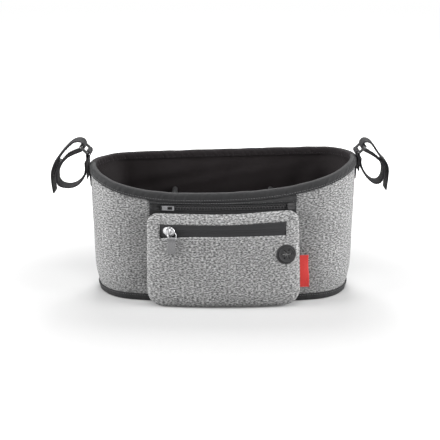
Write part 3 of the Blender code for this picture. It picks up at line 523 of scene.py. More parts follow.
def fold_profile():
    """Section of the folded tape as drops below the rim and places out from the wall, going down
    the outside, back up inside the fold, and round, with how many of its first points are free to
    wrinkle."""
    inner = -WALL - LINING - 2 * GAP
    deep = inner - BINDING
    far = GAP + BINDING
    middle, reach = (far + deep) / 2, (far - deep) / 2
    arc = np.linspace(0, math.pi, 13)
    crown = np.stack([0.0036 - 0.0036 * np.sin(arc) ** 0.8, middle + reach * np.cos(arc)], 1)
    leg = np.linspace(BINDING_DROP, 0.0040, 7)
    outside = np.stack([leg, far + 0 * leg], 1)
    leg_in = np.linspace(0.0040, INSIDE_DROP, 6)
    inside = np.stack([leg_in, deep + 0 * leg_in], 1)
    under = np.array([[INSIDE_DROP, inner], [0.0045, inner], [0.0018, inner + 0.0006],
                      [0.0015, middle], [0.0018, GAP - 0.0004], [0.0045, GAP],
                      [BINDING_DROP, GAP]])
    return np.concatenate([outside, crown, inside, under]), len(outside) + len(crown) + len(inside)


def rim_tape(name, first, last, count, finish, slot, replaced, seed):
    """The folded tape swept along the rim. Its free side rises in slanting wrinkles, is drawn in
    along the stitches, and its fold swells and sinks a little."""
    s = np.linspace(first, last, count)[:, None]
    t = station(s)
    section_line, free = fold_profile()
    drop, place = section_line[:, 0][None, :], section_line[:, 1][None, :]
    skin = (np.arange(len(section_line)) < free)[None, :]
    facing = np.where(place > -0.0021, 1.0, -1.0)
    slant = ripple(s + 0.55 * drop, 0.0068, seed) * ease(drop, 0.0, 0.003)
    slow = ripple(s, 0.034, seed + 1.0)
    stitch = np.exp(-((drop - BINDING_DROP + 0.0022) / 0.0009) ** 2)
    lift = skin * (0.00030 + 0.00032 * slant + 0.00014 * slow - 0.00046 * stitch)
    top = rim(t) + 0.00025 * slow * skin * (drop < 0.004)
    points = wall(t, top - drop, place + facing * np.maximum(lift, 0 * lift - 0.0002))
    swept(name, "organizer", slot, finish, points, s, run_of(section_line)[None, :], replaced)


rim_tape("front_rim_tape", *FRONT_SPAN, 520, charcoal_tape, "charcoal_binding",
         ["front_binding"], 1.0)
rim_tape("back_rim_tape", *BACK_SPAN, 480, black_tape, "black_binding", ["back_binding"], 6.0)


def stitches(name, track, outward, finish, slot, body="organizer", pitch=0.0031, length=0.0023,
             thread=0.00022):
    """A row of lockstitches along a track: each a short thread that rises from the cloth and dips
    back into it, six-sided and pointed at both ends, leaning a little as sewn thread does."""
    run = run_of(track)
    centres = np.arange(pitch, run[-1] - pitch, pitch)
    share = np.array([-1.0, -0.72, 0.0, 0.72, 1.0])
    places = centres[:, None] + share[None, :] * length / 2
    core, up = (np.stack([np.interp(places, run, values[:, k]) for k in range(3)], -1)
                for values in (track, outward))
    up = unit(up)
    side = np.cross(unit(np.gradient(core, axis=1)), up)
    core = core + up * (thread * (1 - 1.5 * share ** 2))[None, :, None]
    core = core + side * (0.00012 * share)[None, :, None]
    girth = thread * np.sqrt(1.02 - share ** 2)[None, :, None, None]
    angle = circle(6)
    turn = np.cos(angle)[:, None] * side[:, :, None, :] + np.sin(angle)[:, None] * up[:, :, None, :]
    piece(name, body, slot, finish, core[:, :, None, :] + girth * turn,
          capped(len(share), 6, len(centres)))


def thread_finish(name, shade):
    """Twisted polyester thread: a soft gloss, a little lighter and darker along its length."""
    def links(wire):
        twist = speckle(wire, 1400.0)
        return {"Base Color": twist.blend(scaled(shade, 0.6),
                                          scaled(shade, 1.4)),
                "Roughness": 0.75 - twist * 0.25}
    return new_finish(name, {"Specular IOR Level": 0.4}, links)


charcoal_thread = thread_finish("charcoal_thread", (0.150, 0.150, 0.153))
black_thread = thread_finish("black_thread", (0.040, 0.037, 0.038))


def rim_track(first, last, drop, out, count=900):
    """A line on the wall a drop below the rim, with its outward direction."""
    t = station(np.linspace(first, last, count))
    track = wall(t, rim(t) - drop, out)
    return track, wall(t, rim(t) - drop, out + 0.001) - track


SEW_DROP = BINDING_DROP - 0.0022
INSIDE_FACE = -WALL - LINING - 2 * GAP - BINDING
front_run = (0.004 - SIDE_SEAM, SIDE_SEAM - 0.004)
back_run = (SIDE_SEAM + 0.004, ROUND - SIDE_SEAM - 0.004)
for label, run, finish, slot in (("front", front_run, charcoal_thread, "charcoal_binding"),
                                 ("back", back_run, black_thread, "black_binding")):
    track, outward = rim_track(*run, SEW_DROP, GAP + BINDING + 0.0001)
    stitches(label + "_rim_stitches", track, outward, finish, slot, thread=0.00030)
    track, outward = rim_track(*run, INSIDE_DROP - 0.0018, INSIDE_FACE)
    stitches(label + "_rim_stitches_inside", track, -outward, finish, slot)


# Base binding. A band of the same charcoal tape, pressed round the bottom edge and sewn to the
# walls along its top; it stands a little proud and bags slightly between the stitches.
s = np.linspace(0, ROUND, 901)[:-1, None]
t = station(s)
rise = np.array([BASE_BAND, BASE_BAND - 0.0004, 0.0075, 0.0055, 0.0035, 0.0018, 0.0007, GAP, GAP,
                 GAP + BINDING, GAP + BINDING, 0.0030, 0.0055, BASE_BAND])[None, :]
place = np.array([GAP + 0.0008, GAP + BINDING, GAP + BINDING, GAP + BINDING, GAP + BINDING,
                  GAP + BINDING, GAP + 0.0007, GAP - 0.0004, -WALL, -WALL, 0.0, GAP, GAP,
                  GAP])[None, :]
outer = (np.arange(14) < 6)[None, :]
sew = np.exp(-((rise - BASE_BAND + 0.0020) / 0.0008) ** 2)
lift = outer * (0.0002 + 0.00022 * ripple(s + 0.5 * rise, 0.0085, 2.0) - 0.00030 * sew)
points = wall(t, rise, place + np.maximum(lift, -0.0002))
uv = np.stack(np.broadcast_arrays(s, run_of(np.stack([rise[0], place[0]], 1))[None, :]), -1)
piece("base_tape", "organizer", "charcoal_binding", charcoal_tape, points,
      lattice(*points.shape[:2], around=True, across=True), uv, replaced=["base_binding"])
turns = station(np.linspace(0, ROUND, 1400))
track = wall(turns, BASE_BAND - 0.0020, GAP + BINDING)
stitches("base_stitches", track, wall(turns, BASE_BAND - 0.0020, 0.005) - track, charcoal_thread,
         "charcoal_binding")


# Lining. A bag of thin black coated cloth, sewn in at the rim and left loose, so that it slumps
# into slow folds down the walls and creases on the floor; its outside lies against the foam.
def lining_cloth(wire):
    """Coated taffeta: very fine weave, a dull sheen and slow tonal clouds."""
    colour, bump, level = woven(wire, (0.0120, 0.0092, 0.0098), 0.0005, 0.08)
    return {"Base Color": colour, "Normal": bump, "Roughness": 0.72 - level * 0.14}


black_lining = new_finish("black_lining_cloth", {"Specular IOR Level": 0.18}, lining_cloth)
FLOOR_TOP = 0.0025 + GAP
edge = -WALL - GAP
s = np.linspace(0, ROUND, 441)[:-1, None]
t = station(s)
top = rim(t) - BINDING - GAP
COLUMNS = 44
climb = np.linspace(0, 1, COLUMNS)[None, :]
z_in = FLOOR_TOP + LINING + 0.0006 + (top - FLOOR_TOP - LINING - 0.0006) * climb
slump = ease(z_in, 0.0, 0.02) * ease(top - z_in, 0.008, 0.030)
folds = 0.0011 + 0.0011 * ripple(s + 0.25 * z_in, 0.046, 3.0) * (0.4 + 0.6 * climb)
creases = 0.0005 * ripple(z_in + 0.2 * s, 0.021, 5.0)
facing = 0.0005 * np.exp(-((top - z_in - 0.0125) / 0.0012) ** 2)
inner = edge - LINING - slump * np.maximum(folds + creases, 0) + facing - 0.0003
wall_in = wall(t, z_in, inner)
wall_out = wall(t, z_in - LINING * (1 - climb), edge + 0 * z_in)
middle = wall_out[:, 0].mean(axis=0)
middle[2] = 0.0
share = np.linspace(0, 1, 15)[None, :-1, None]


def across_floor(foot, level):
    """Lines from the middle of the floor out to the foot of the wall, at one level."""
    line = middle + (foot[:, None, :] - middle) * share
    line[..., 2] = level
    return line


reach = share[..., 0]
waves = 0.0005 * ripple(reach * 0.10 + 0.2 * s, 0.030, 7.0) * np.sin(math.pi * reach)
floor_in = across_floor(wall_in[:, 0], FLOOR_TOP + LINING + 0.0006 + np.abs(waves))
floor_out = across_floor(wall_out[:, 0], FLOOR_TOP)
lines = np.concatenate([floor_out, wall_out, wall_in[:, ::-1], floor_in[:, ::-1]], 1)
rows, columns = lines.shape[:2]
girth = np.concatenate([np.zeros((rows, 1)),
                        np.cumsum(np.linalg.norm(np.diff(lines, axis=1), axis=-1), axis=1)], 1)
uv = np.stack(np.broadcast_arrays(s, girth), -1)
piece("lining_bag", "organizer", "black_lining", black_lining, lines,
      lattice(rows, columns, around=True), uv, replaced=["lining"])
board = nodes["base_panel"]


def board_cloth(wire):
    """Woven cover of the stiff base board, seen only from below."""
    grain = speckle(wire, 700.0)
    return {"Base Color": grain.blend((0.010, 0.010, 0.010), (0.034, 0.033, 0.034)),
            "Normal": bumps(wire, grain, 0.5, 0.0004)}


board.data.materials.clear()
board.data.materials.append(new_finish("base_board_cloth", {"Roughness": 0.85}, board_cloth))


# Dividers. Two quilted walls of lining cloth over foam part the cup wells from the middle; each
# has a charcoal tape folded over its top edge and is sewn to the lining front and back.
DIVIDER_X, DIVIDER_TOP, DIVIDER_THICK, QUILT = 0.062, 0.118, 0.0040, 0.026
TAPE_HALF, TAPE_FOOT = 0.0033, 0.0080


def inside_faces(x, z):
    """Front and back y of the lining at x and z, from the same arcs as the wall."""
    draw, _, _, rear, side_y = section(z)
    inset = WALL + LINING + 2 * GAP
    return AXIS_Y - np.sqrt((cone(z) - draw - inset) ** 2 - x ** 2), side_y + rear - inset


z = np.linspace(FLOOR_TOP + LINING + GAP, DIVIDER_TOP - 0.0014, 60)[:, None]
near, far = inside_faces(DIVIDER_X + DIVIDER_THICK / 2, z)
y = near + (far - near) * np.linspace(0, 1, 56)[None, :]
level = z + 0 * y
quilt = np.sqrt(np.abs(np.sin(math.pi * (y + level) / QUILT) * np.sin(math.pi * (y - level) / QUILT)))
margin = ease(y, near, near + 0.006) * ease(-y, -far, 0.006 - far)
margin = margin * ease(DIVIDER_TOP - 0.009 - level, 0.0, 0.006)
puff = 0.0010 + 0.0011 * quilt * margin
angle = np.linspace(0, math.pi, 9)
outline = np.concatenate([
    np.stack([np.full(4, TAPE_HALF), np.linspace(-TAPE_FOOT, -0.003, 4)], 1),
    np.stack([TAPE_HALF * np.cos(angle), 0.0030 * np.sin(angle) - 0.0030], 1)[1:-1],
    np.stack([np.full(4, -TAPE_HALF), np.linspace(-0.003, -TAPE_FOOT, 4)], 1),
    [[-0.0024, -TAPE_FOOT], [-0.0024, -0.0040], [0.0, -0.0014], [0.0024, -0.0040],
     [0.0024, -TAPE_FOOT]]])
start, stop = inside_faces(DIVIDER_X + TAPE_HALF, DIVIDER_TOP - TAPE_FOOT)
over, down = outline[None, :, 0], outline[None, :, 1]
length = start + (stop - start) * np.linspace(0, 1, 90)[:, None] + 0 * over
sew = np.linspace(start, stop, 200)
for side, turn in (("left", -1), ("right", 1)):
    faces_x = [np.stack([turn * (DIVIDER_X + sign * puff), y, level], -1) for sign in (1, -1)]
    sheet(side + "_divider_pad", "divider_padding", black_lining, *faces_x, y, level,
          [side + "_divider"], 0.6)
    crimp = 0.00018 * ripple(length + down, 0.0075, 3.0 + turn)
    points = np.stack([turn * (DIVIDER_X + over * (1 + crimp / TAPE_HALF)), length,
                       DIVIDER_TOP + down + 0.6 * crimp], -1)
    swept(side + "_divider_tape", "organizer", "divider_binding", charcoal_tape, points, length,
          run_of(outline)[None, :], [side + "_divider_binding"])
    for label, sign in (("outer", 1), ("inner", -1)):
        track = np.stack([0 * sew + turn * (DIVIDER_X + sign * TAPE_HALF), sew,
                          0 * sew + DIVIDER_TOP - 0.0062], 1)
        stitches(f"{side}_divider_{label}_stitches", track,
                 np.tile((float(turn * sign), 0.0, 0.0), (200, 1)), charcoal_thread,
                 "divider_binding")


# Upper zipper. A separating chain of chunky moulded teeth on two woven tapes, under a charcoal
# facing folded and sewn along its edge; it runs level, right end a little up, below the rim.
OUT_RISE = (FRONT_BASE - FRONT_TOP) / FRONT_RIM_Z + HANG_OUT / CHAIN_Z / 2
CHAIN_START, CHAIN_END = -0.0745, 0.0765
CHAIN_OUT, TOOTH_THICK, TOOTH_PITCH = 0.0019, 0.0022, 0.0036
TAPE_SHOWN, FACING_SHOWN = 0.0882, 0.0886


def flat(u, z, out):
    """Flat layout bent on to the front: u along it, z up and out square to the cloth, which
    hangs free below the chain and leans a little about Y."""
    u, z, out = np.broadcast_arrays(np.asarray(u, float), z, out)
    radius = cone(z) + HANG_OUT * np.clip(1 - z / CHAIN_Z, 0, None) + out
    x = radius * np.sin(u / FRONT_ARC)
    rise = z - CHAIN_Z + out * OUT_RISE
    return np.stack([x * math.cos(FRONT_LEAN) - rise * math.sin(FRONT_LEAN),
                     AXIS_Y - radius * np.cos(u / FRONT_ARC),
                     CHAIN_Z + x * math.sin(FRONT_LEAN) + rise * math.cos(FRONT_LEAN)], -1)


def under_rim(u):
    """Height in the flat layout of the rim tape's lower edge above u."""
    x = cone(SIDE_RIM_Z) * np.sin(u / FRONT_ARC)
    return front_rise(x) - BINDING_DROP - x * math.sin(FRONT_LEAN)


def zip_tape(wire):
    """Zipper tape: a close herringbone of fine ribs along it, with a flat, dull sheen."""
    u, v = directions(wire)
    zigzag = v.maths("PINGPONG", v * (1 / 0.0016), 1.0)
    rib = u.wave(0.0009, zigzag * 3.0)
    fuzz = yarn(wire, 800.0, 1400.0)
    level = 0.5 + rib * 0.08 + (fuzz - 0.5) * 0.5
    return {"Base Color": level.blend((0.016, 0.016, 0.017), (0.058, 0.058, 0.060)),
            "Normal": bumps(wire, rib * 0.5 + fuzz * 0.5, 0.35, 0.0003),
            "Roughness": 0.76 - level * 0.16}


zip_cloth = new_finish("zip_tape_cloth", {"Specular IOR Level": 0.16}, zip_tape)


def strip(name, slot, finish, columns, low, high, depth, thick, replaced=(), roll=0.0004):
    """A flat sewn strip: low and high give its edges' heights along u, depth how far its face
    stands out at each share of its width; its edges are rounded over a roll."""
    u = columns[:, None]
    share = crowded(22)
    z = low(u) + (high(u) - low(u)) * share
    round_off = roll * (1 - np.sqrt(1 - (2 * share - 1) ** 10))
    out = depth(u, share)
    sheet(name, slot, finish, flat(u, z, out - round_off), flat(u, z, out - thick), u, z, replaced)


def fold_low(u):
    """Height of the facing's folded lower edge, which wavers a little."""
    return CHAIN_Z + FOLD_RISE + 0.00025 * ripple(u, 0.041, 2.0)


FOLD_RISE, LOWER_TAPE_LOW = 0.0040, 0.1092
columns = np.linspace(-TAPE_SHOWN, TAPE_SHOWN, 300)
strip("upper_tape", "zipper_tape", zip_cloth, columns, lambda u: CHAIN_Z + 0.0001 + 0 * u,
      lambda u: np.maximum(under_rim(u) - 0.0002, CHAIN_Z + 0.004),
      lambda u, share: 0.0023 - 0.0016 * ease(share, 0.3, 0.8) + 0 * u, 0.0006, ["upper_stringer"])
strip("lower_tape", "zipper_tape", zip_cloth, columns, lambda u: LOWER_TAPE_LOW + 0 * u,
      lambda u: CHAIN_Z - 0.0001 + 0 * u,
      lambda u, share: 0.0013 + 0.0010 * ease(share, 0.1, 0.9) + 0 * u, 0.0008, ["lower_stringer"])
strip("upper_facing", "charcoal_binding", charcoal_tape,
      np.linspace(-FACING_SHOWN, FACING_SHOWN, 320), fold_low,
      lambda u: np.maximum(under_rim(u) - 0.0011, CHAIN_Z + FOLD_RISE + 0.0012),
      lambda u, share: 0.0034 - 0.0019 * ease(share, 0.45, 1.0)
      + 0.00022 * ripple(u + 0.002 * share, 0.009, 4.0), 0.0007, roll=0.0009)
u = np.linspace(-TAPE_SHOWN, TAPE_SHOWN, 500)
track = flat(u, fold_low(u) + 0.0013, 0.0031)
stitches("facing_stitches", track, track - flat(u, CHAIN_Z + FOLD_RISE + 0.0013, 0.0),
         charcoal_thread, "charcoal_binding", pitch=0.0028, length=0.0021)
for side, sign in (("left", -1), ("right", 1)):
    end = sign * (TAPE_SHOWN - 0.0006)
    z = np.linspace(0.1135, float(under_rim(end)) - 0.0006, 60)
    track = flat(end, z, 0.0034)
    stitches(side + "_tape_end_stitches", track, track - flat(end, z, 0.0), charcoal_thread,
             "charcoal_binding", pitch=0.0022, length=0.0019, thread=0.00026)


def blunt(wave, power):
    """A wave squared off by a power below one, for the sections of blunt shapes."""
    return np.sign(wave) * np.abs(wave) ** power


def moulded(name, shade, rough, specular=0.5):
    """Moulded plastic: a smooth dull gloss with a faint grain and patches of polish here and there."""
    def links(wire):
        grain = speckle(wire, 900.0)
        haze = speckle(wire, 160.0)
        return {"Base Color": haze.blend(scaled(shade, 0.8), scaled(shade, 1.25)),
                "Roughness": rough + (haze - 0.5) * 0.18,
                "Normal": bumps(wire, grain, 0.12, 0.0002)}
    return new_finish(name, {"Specular IOR Level": specular}, links)


tooth_plastic = moulded("tooth_plastic", (0.032, 0.031, 0.032), 0.22)
CORD_THICK = 0.00055
reach = np.array([0.0031, 0.0029, 0.0023, 0.0012, 0.0001, -0.0007, -0.0009])
wide = np.array([0.00055, 0.00078, 0.00080, 0.00062, 0.00088, 0.00080, 0.00045])
tall = np.array([0.0007, 0.00104, 0.00114, 0.00112, 0.00104, 0.00090, 0.00060])
angle = circle(10) + math.pi / 10
ring_x, ring_y = blunt(np.cos(angle), 0.55), blunt(np.sin(angle), 0.55)
turn = circle(8)
bead = np.linspace(CHAIN_START - 0.006, CHAIN_END + 0.004, 260)[:, None]
for label, sign, offset in (("upper", 1, 0.0008), ("lower", -1, 0.0008 + TOOTH_PITCH / 2)):
    seats = np.arange(CHAIN_START + offset, CHAIN_END - 0.0012, TOOTH_PITCH)
    u = seats[:, None, None] + (wide[:, None] * ring_x)[None]
    out = CHAIN_OUT + TOOTH_THICK / 2 + (tall[:, None] * ring_y)[None] + 0 * u
    points = flat(u, CHAIN_Z + sign * reach[None, :, None] + 0 * u, out)
    piece(label + "_teeth", "organizer", "zipper_tape", tooth_plastic, points,
          capped(len(reach), len(angle), len(seats)))
    points = flat(bead, CHAIN_Z + sign * (0.0026 + CORD_THICK * np.cos(turn)),
                  CHAIN_OUT + TOOTH_THICK / 2 + CORD_THICK * np.sin(turn) + 0 * bead)
    swept(label + "_cord", "organizer", "zipper_tape", zip_cloth, points, bead,
          turn[None, :] * 0.0006)


# Slider, pull and end box of the upper zipper. The slider is cast and painted black, with a
# bridge that holds a flat gunmetal pull; the box at the right takes the pin when it closes.
def rounded(name, node, body, finish, width, reshape=None):
    """A hard part with its edges rounded: the node's own faces, joined and bevelled; reshape
    moves their corners first."""
    mesh = nodes[node].data.copy()
    mesh.name = name
    if reshape:
        for corner in mesh.vertices:
            corner.co = reshape(np.array(corner.co)).tolist()
    work = bmesh.new()
    work.from_mesh(mesh)
    bmesh.ops.remove_doubles(work, verts=work.verts, dist=MERGE)
    bmesh.ops.dissolve_limit(work, angle_limit=math.radians(2), verts=work.verts, edges=work.edges)
    bmesh.ops.recalc_face_normals(work, faces=work.faces)
    work.to_mesh(mesh)
    work.free()
    mesh.shade_smooth()
    mesh.materials.clear()
    mesh.materials.append(finish)
    thing = bpy.data.objects.new(name, mesh)
    bpy.context.collection.objects.link(thing)
    edge = thing.modifiers.new("rounding", "BEVEL")
    edge.width = width
    edge.segments = 3
    edge.limit_method = "ANGLE"
    edge.angle_limit = math.radians(28)
    edge.harden_normals = True
    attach(thing, body)
    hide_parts(node)


painted = moulded("painted_black", (0.010, 0.010, 0.011), 0.13, 0.30)
PULL_PIVOT = np.array([-0.0774346963, -0.0499468297, 0.1216540933])
PULL_EYE, PULL_LENGTH, PULL_MORE = 0.0040, 0.0150, 0.0048
HOLE_HALF, HOLE_MORE = 0.0018, 0.0005
SLIDER_AT = CHAIN_START - 0.0045


def gunmetal_links(wire):
    """Tumbled gunmetal: fine lengthwise brushing, worn pale in patches, the eye end enamelled."""
    place = wire.node("TexCoord", out="Object")
    brushed = noise(wire, wire.node("Mapping", {0: place, "Scale": (120.0, 900.0, 1600.0)}), 1.0)
    worn = noise(wire, place, 260.0)
    away = wire.node("VectorMath", {0: place, 1: tuple(PULL_PIVOT)}, out="Value",
                     operation="DISTANCE")
    bare = wire.node("MapRange", {"Value": away, "From Min": 0.0050, "From Max": 0.0058,
                                  "To Min": 0.05})
    return {"Base Color": ((worn * 0.6 + 0.4) * bare).blend((0.0, 0.0, 0.0), (0.33, 0.33, 0.34)),
            "Roughness": 0.26 + brushed * 0.22, "Normal": bumps(wire, brushed, 0.15, 0.0002)}


gunmetal = new_finish("gunmetal_cast", {"Metallic": 0.85}, gunmetal_links)


def frame_on(u, z, step=0.001):
    """Three directions at a place of the flat layout: along the cloth, up it and out of it."""
    ahead = unit(flat(u + step, z, 0.0) - flat(u - step, z, 0.0))
    out = unit(np.cross(ahead, flat(u, z + step, 0.0) - flat(u, z - step, 0.0)))
    return ahead, np.cross(out, ahead), out


pull_way, pull_up, pull_out = frame_on(SLIDER_AT, CHAIN_Z)


def longer(corner):
    """Draws the pull out beyond its eye, which keeps its size, and widens the hole at its end."""
    run = float(np.dot(corner - PULL_PIVOT, pull_way))
    share = np.clip((run - PULL_EYE) / (PULL_LENGTH - PULL_EYE), 0, 1)
    rise = float(np.dot(corner - PULL_PIVOT, pull_up))
    in_hole = run > PULL_EYE + 0.001 and abs(rise) < HOLE_HALF
    wide = HOLE_MORE * np.sign(rise) if in_hole else 0.0
    return corner + pull_way * PULL_MORE * share + pull_up * wide


rounded("attach_slider_body", "attach_slider", "attach_slider", painted, 0.00028)
rounded("attach_pull_tab", "attach_pull", "attach_pull", gunmetal, 0.00030,
        reshape=longer)
CAP_LONG, CAP_TALL, CAP_ASIDE, CAP_POWER = 0.0071, 0.0041, -0.0003, 0.8
BOSS_AT, BOSS_RISE, BOSS_SIZE = -0.0042, 0.0010, 0.0016
plate_out = CHAIN_OUT + TOOTH_THICK + GAP + 0.0012
angle = circle(48)[None, :]
across = np.linspace(0, 1, 10)[:, None]
bulge = np.sin(across * math.pi / 2)
cap_x = CAP_ASIDE + CAP_LONG * blunt(np.cos(angle), CAP_POWER) * bulge
cap_y = CAP_TALL * blunt(np.sin(angle), CAP_POWER) * bulge
cap_z = plate_out - 0.0009 + 0.00095 * np.cos(across * math.pi / 2) ** 0.35 + 0 * angle
cap_z = cap_z + BOSS_RISE * np.exp(-((cap_x - BOSS_AT) ** 2 + cap_y ** 2) / BOSS_SIZE ** 2)
cap = (flat(SLIDER_AT, CHAIN_Z, 0.0) + cap_x[..., None] * pull_way + cap_y[..., None] * pull_up
       + cap_z[..., None] * pull_out)
cap_faces = lattice(10, 48, across=True).tolist() + [list(range(9 * 48, 10 * 48))[::-1]]
piece("attach_slider_plate", "attach_slider", "moulded_black", painted, cap, cap_faces)
rounded("end_box", "retainer_box", "organizer", tooth_plastic, 0.00040)


# Wallet. A flat padded pocket of the same heather: a back, a strip above the zipper, two end tabs
# and one large panel below it, sewn together right sides in and turned, so that its edges roll
# over to a seam and every join is a shallow valley.
WALLET_HALF, WALLET_TOP, WALLET_BOTTOM = 0.0910, 0.1150, 0.0010
WALLET_MID, WALLET_TALL = (WALLET_TOP + WALLET_BOTTOM) / 2, (WALLET_TOP - WALLET_BOTTOM) / 2
TOP_ROUND, BOTTOM_ROUND = 0.014, 0.020
SHELL_OUT, SHELL, CROWN = 0.0033, 0.0030, 0.0060
WINDOW_HALF, WINDOW_TOP, WINDOW_BOTTOM = 0.0740, 0.1027, 0.0875
EDGE_ROLL, HAIR = 0.0052, 0.0001
# The wallet's heather is the walls' cloth given a lighter shade: painted light, for the brighter light
# on its face.
wallet_heather_painted_light = new_finish("wallet_heather_painted_light", HEATHER_LOOK, heather(0.300, 3.0))


def wallet_half(z):
    """Half width of the wallet: straight sides with quarter-round corners."""
    rise = np.clip((z - WALLET_TOP + TOP_ROUND) / TOP_ROUND, 0, 1)
    fall = np.clip((WALLET_BOTTOM + BOTTOM_ROUND - z) / BOTTOM_ROUND, 0, 1)
    return WALLET_HALF - TOP_ROUND * (1 - np.sqrt(1 - rise ** 2)) \
        - BOTTOM_ROUND * (1 - np.sqrt(1 - fall ** 2))


def edge_distance(u, z):
    """Distance in from the wallet's outline, a rectangle with round corners."""
    corner = np.where(z > WALLET_MID, TOP_ROUND, BOTTOM_ROUND)
    a = np.abs(u) - (WALLET_HALF - corner)
    b = np.abs(z - WALLET_MID) - (WALLET_TALL - corner)
    outside = np.hypot(np.maximum(a, 0), np.maximum(b, 0))
    return np.maximum(corner - outside - np.minimum(np.maximum(a, b), 0), 0)


def pillow(u, z):
    """How far the wallet's face stands out: the CAD pillow, rolled over at its edges in a quarter
    ellipse, with uneven puckers along the seam and slow dents in the middle."""
    side = np.clip(np.abs(u) / WALLET_HALF, 0, 1)
    rise = np.clip(np.abs(z - WALLET_MID) / WALLET_TALL, 0, 1)
    fall = np.where(z > WALLET_MID, rise ** 4, rise ** 7)
    face = SHELL_OUT + SHELL + CROWN * (1 - side ** 10) * (1 - fall)
    near = edge_distance(u, z)
    roll = np.sqrt(1 - (1 - np.clip(near / EDGE_ROLL, 0, 1)) ** 2.3)
    pucker = 0.00042 * ripple(u + 0.7 * z, 0.0115, 2.0) * np.exp(-((near - 0.006) / 0.0045) ** 2)
    dent = 0.00055 * ripple(u + 0.4 * z, 0.060, 5.0) * ripple(z - 0.3 * u, 0.052, 1.0)
    dent = dent * ease(near, 0.004, 0.020)
    return SHELL_OUT - 0.0001 + (face - SHELL_OUT + 0.0001) * roll + pucker + dent


def window_low(u):
    """Lower edge of the zipper window, drawn down a little at its left end."""
    return WINDOW_BOTTOM + 0.0008 - 0.0021 * ease(-u, 0.030, WINDOW_HALF) + 0.0001 * ripple(u, 0.03, 2.0)


def window_high(u):
    """Upper edge of the zipper window, which rises slightly at its right end."""
    return WINDOW_TOP - 0.0004 + 0.0008 * ease(u, 0.0, WINDOW_HALF) + 0.0001 * ripple(u, 0.03, 7.0)


def seam_dip(distance, depth, width):
    """Dip beside a join, a rounded valley of a depth and width."""
    return -depth * (1 - np.sqrt(1 - (1 - np.clip(distance / width, 0, 1)) ** 2))


def settled(u, z):
    """Height after the wallet's top has settled: it sags in the middle, held up at the right."""
    drop = 0.0020 * ease(u, 0.005, 0.080) - 0.0010 * np.exp(-(u / 0.050) ** 2)
    return z + drop * ease(z, 0.0860, WALLET_TOP)


def wallet_piece(name, low, high, left, right, columns, rows, dips, replaced):
    """One sewn panel of the wallet between two edges of height and two shares of its width."""
    share_u = np.linspace(left, right, columns)[:, None]
    guess = share_u * WALLET_HALF
    z = low(guess) + (high(guess) - low(guess)) * crowded(rows)
    u = share_u * wallet_half(z)
    front = pillow(u, z) + dips(u, z)
    rear = np.maximum(np.minimum(front - 0.0008, front - SHELL + 0.0010), SHELL_OUT - 0.0003)
    level = settled(u, z)
    sheet(name, "heather_neoprene", wallet_heather_painted_light, flat(u, level, front),
          flat(u, level, np.minimum(rear, front - 0.00005)), u, z, replaced, 0.5)


def window_dips(u, edge):
    """A panel turns in at the zipper window, and less where it meets the end tabs."""
    inside = ease(-np.abs(u), -WINDOW_HALF - 0.002, -WINDOW_HALF + 0.002)
    return seam_dip(edge, 0.0016, 0.0022) * inside + seam_dip(edge, 0.0008, 0.0016) * (1 - inside)


def tab_dips(u, z):
    """An end tab lies a little lower than the panels and turns in at all three joins."""
    return (-0.0005 + seam_dip(window_high(u) - z, 0.0006, 0.0014)
            + seam_dip(z - window_low(u), 0.0006, 0.0014)
            + seam_dip(np.abs(u) - WINDOW_HALF, 0.0013, 0.0018))


wallet_piece("wallet_lower", lambda u: WALLET_BOTTOM + 0 * u, lambda u: window_low(u) - HAIR, -1, 1,
             228, 114, lambda u, z: window_dips(u, window_low(u) - z), ["wallet_lower_panel"])
wallet_piece("wallet_strip", lambda u: window_high(u) + HAIR, lambda u: WALLET_TOP + 0 * u, -1, 1,
             260, 36, lambda u, z: window_dips(u, z - window_high(u)), ["wallet_top_panel"])
inner, outer = (WINDOW_HALF + HAIR) / WALLET_HALF, 0.997
wallet_piece("wallet_tab_l", window_low, window_high, -outer, -inner, 44, 40, tab_dips,
             ["wallet_tab_left"])
wallet_piece("wallet_tab_r", window_low, window_high, inner, outer, 44, 40, tab_dips,
             ["wallet_tab_right"])

REAR_TOP_Z, REAR_THICK = 0.1086, 0.0023
share_u = np.linspace(-1, 1, 150)[:, None]
z = WALLET_BOTTOM + (REAR_TOP_Z - WALLET_BOTTOM) * crowded(80) + 0 * share_u
u = share_u * wallet_half(z)
near = np.minimum(edge_distance(u, z), REAR_TOP_Z + 0.0004 - z)
rolled = 1 + seam_dip(near, 1, 0.003)
face = SHELL_OUT - 0.0004
sheet("wallet_rear", "heather_neoprene", wallet_heather_painted_light, flat(u, z, face + 0 * u),
      flat(u, z, face - REAR_THICK * rolled - 0.0001), u, z, ["wallet_back"], 0.4)


# Wallet zipper. A coil zipper sewn in back to front, so that its smooth tape faces out and the
# coil shows only as a faint ribbed line where the two halves meet.
WINDOW_MID = (WINDOW_TOP + WINDOW_BOTTOM) / 2
COIL_RECESS = 0.0016


def coil_face(u):
    """Height of the tape's face: the pillow's at mid window, a recess lower, flat across."""
    rise = abs(WINDOW_MID - WALLET_MID) / WALLET_TALL
    side = np.abs(u) / WALLET_HALF
    return SHELL_OUT + SHELL + CROWN * (1 - side ** 10) * (1 - rise ** 4) - COIL_RECESS


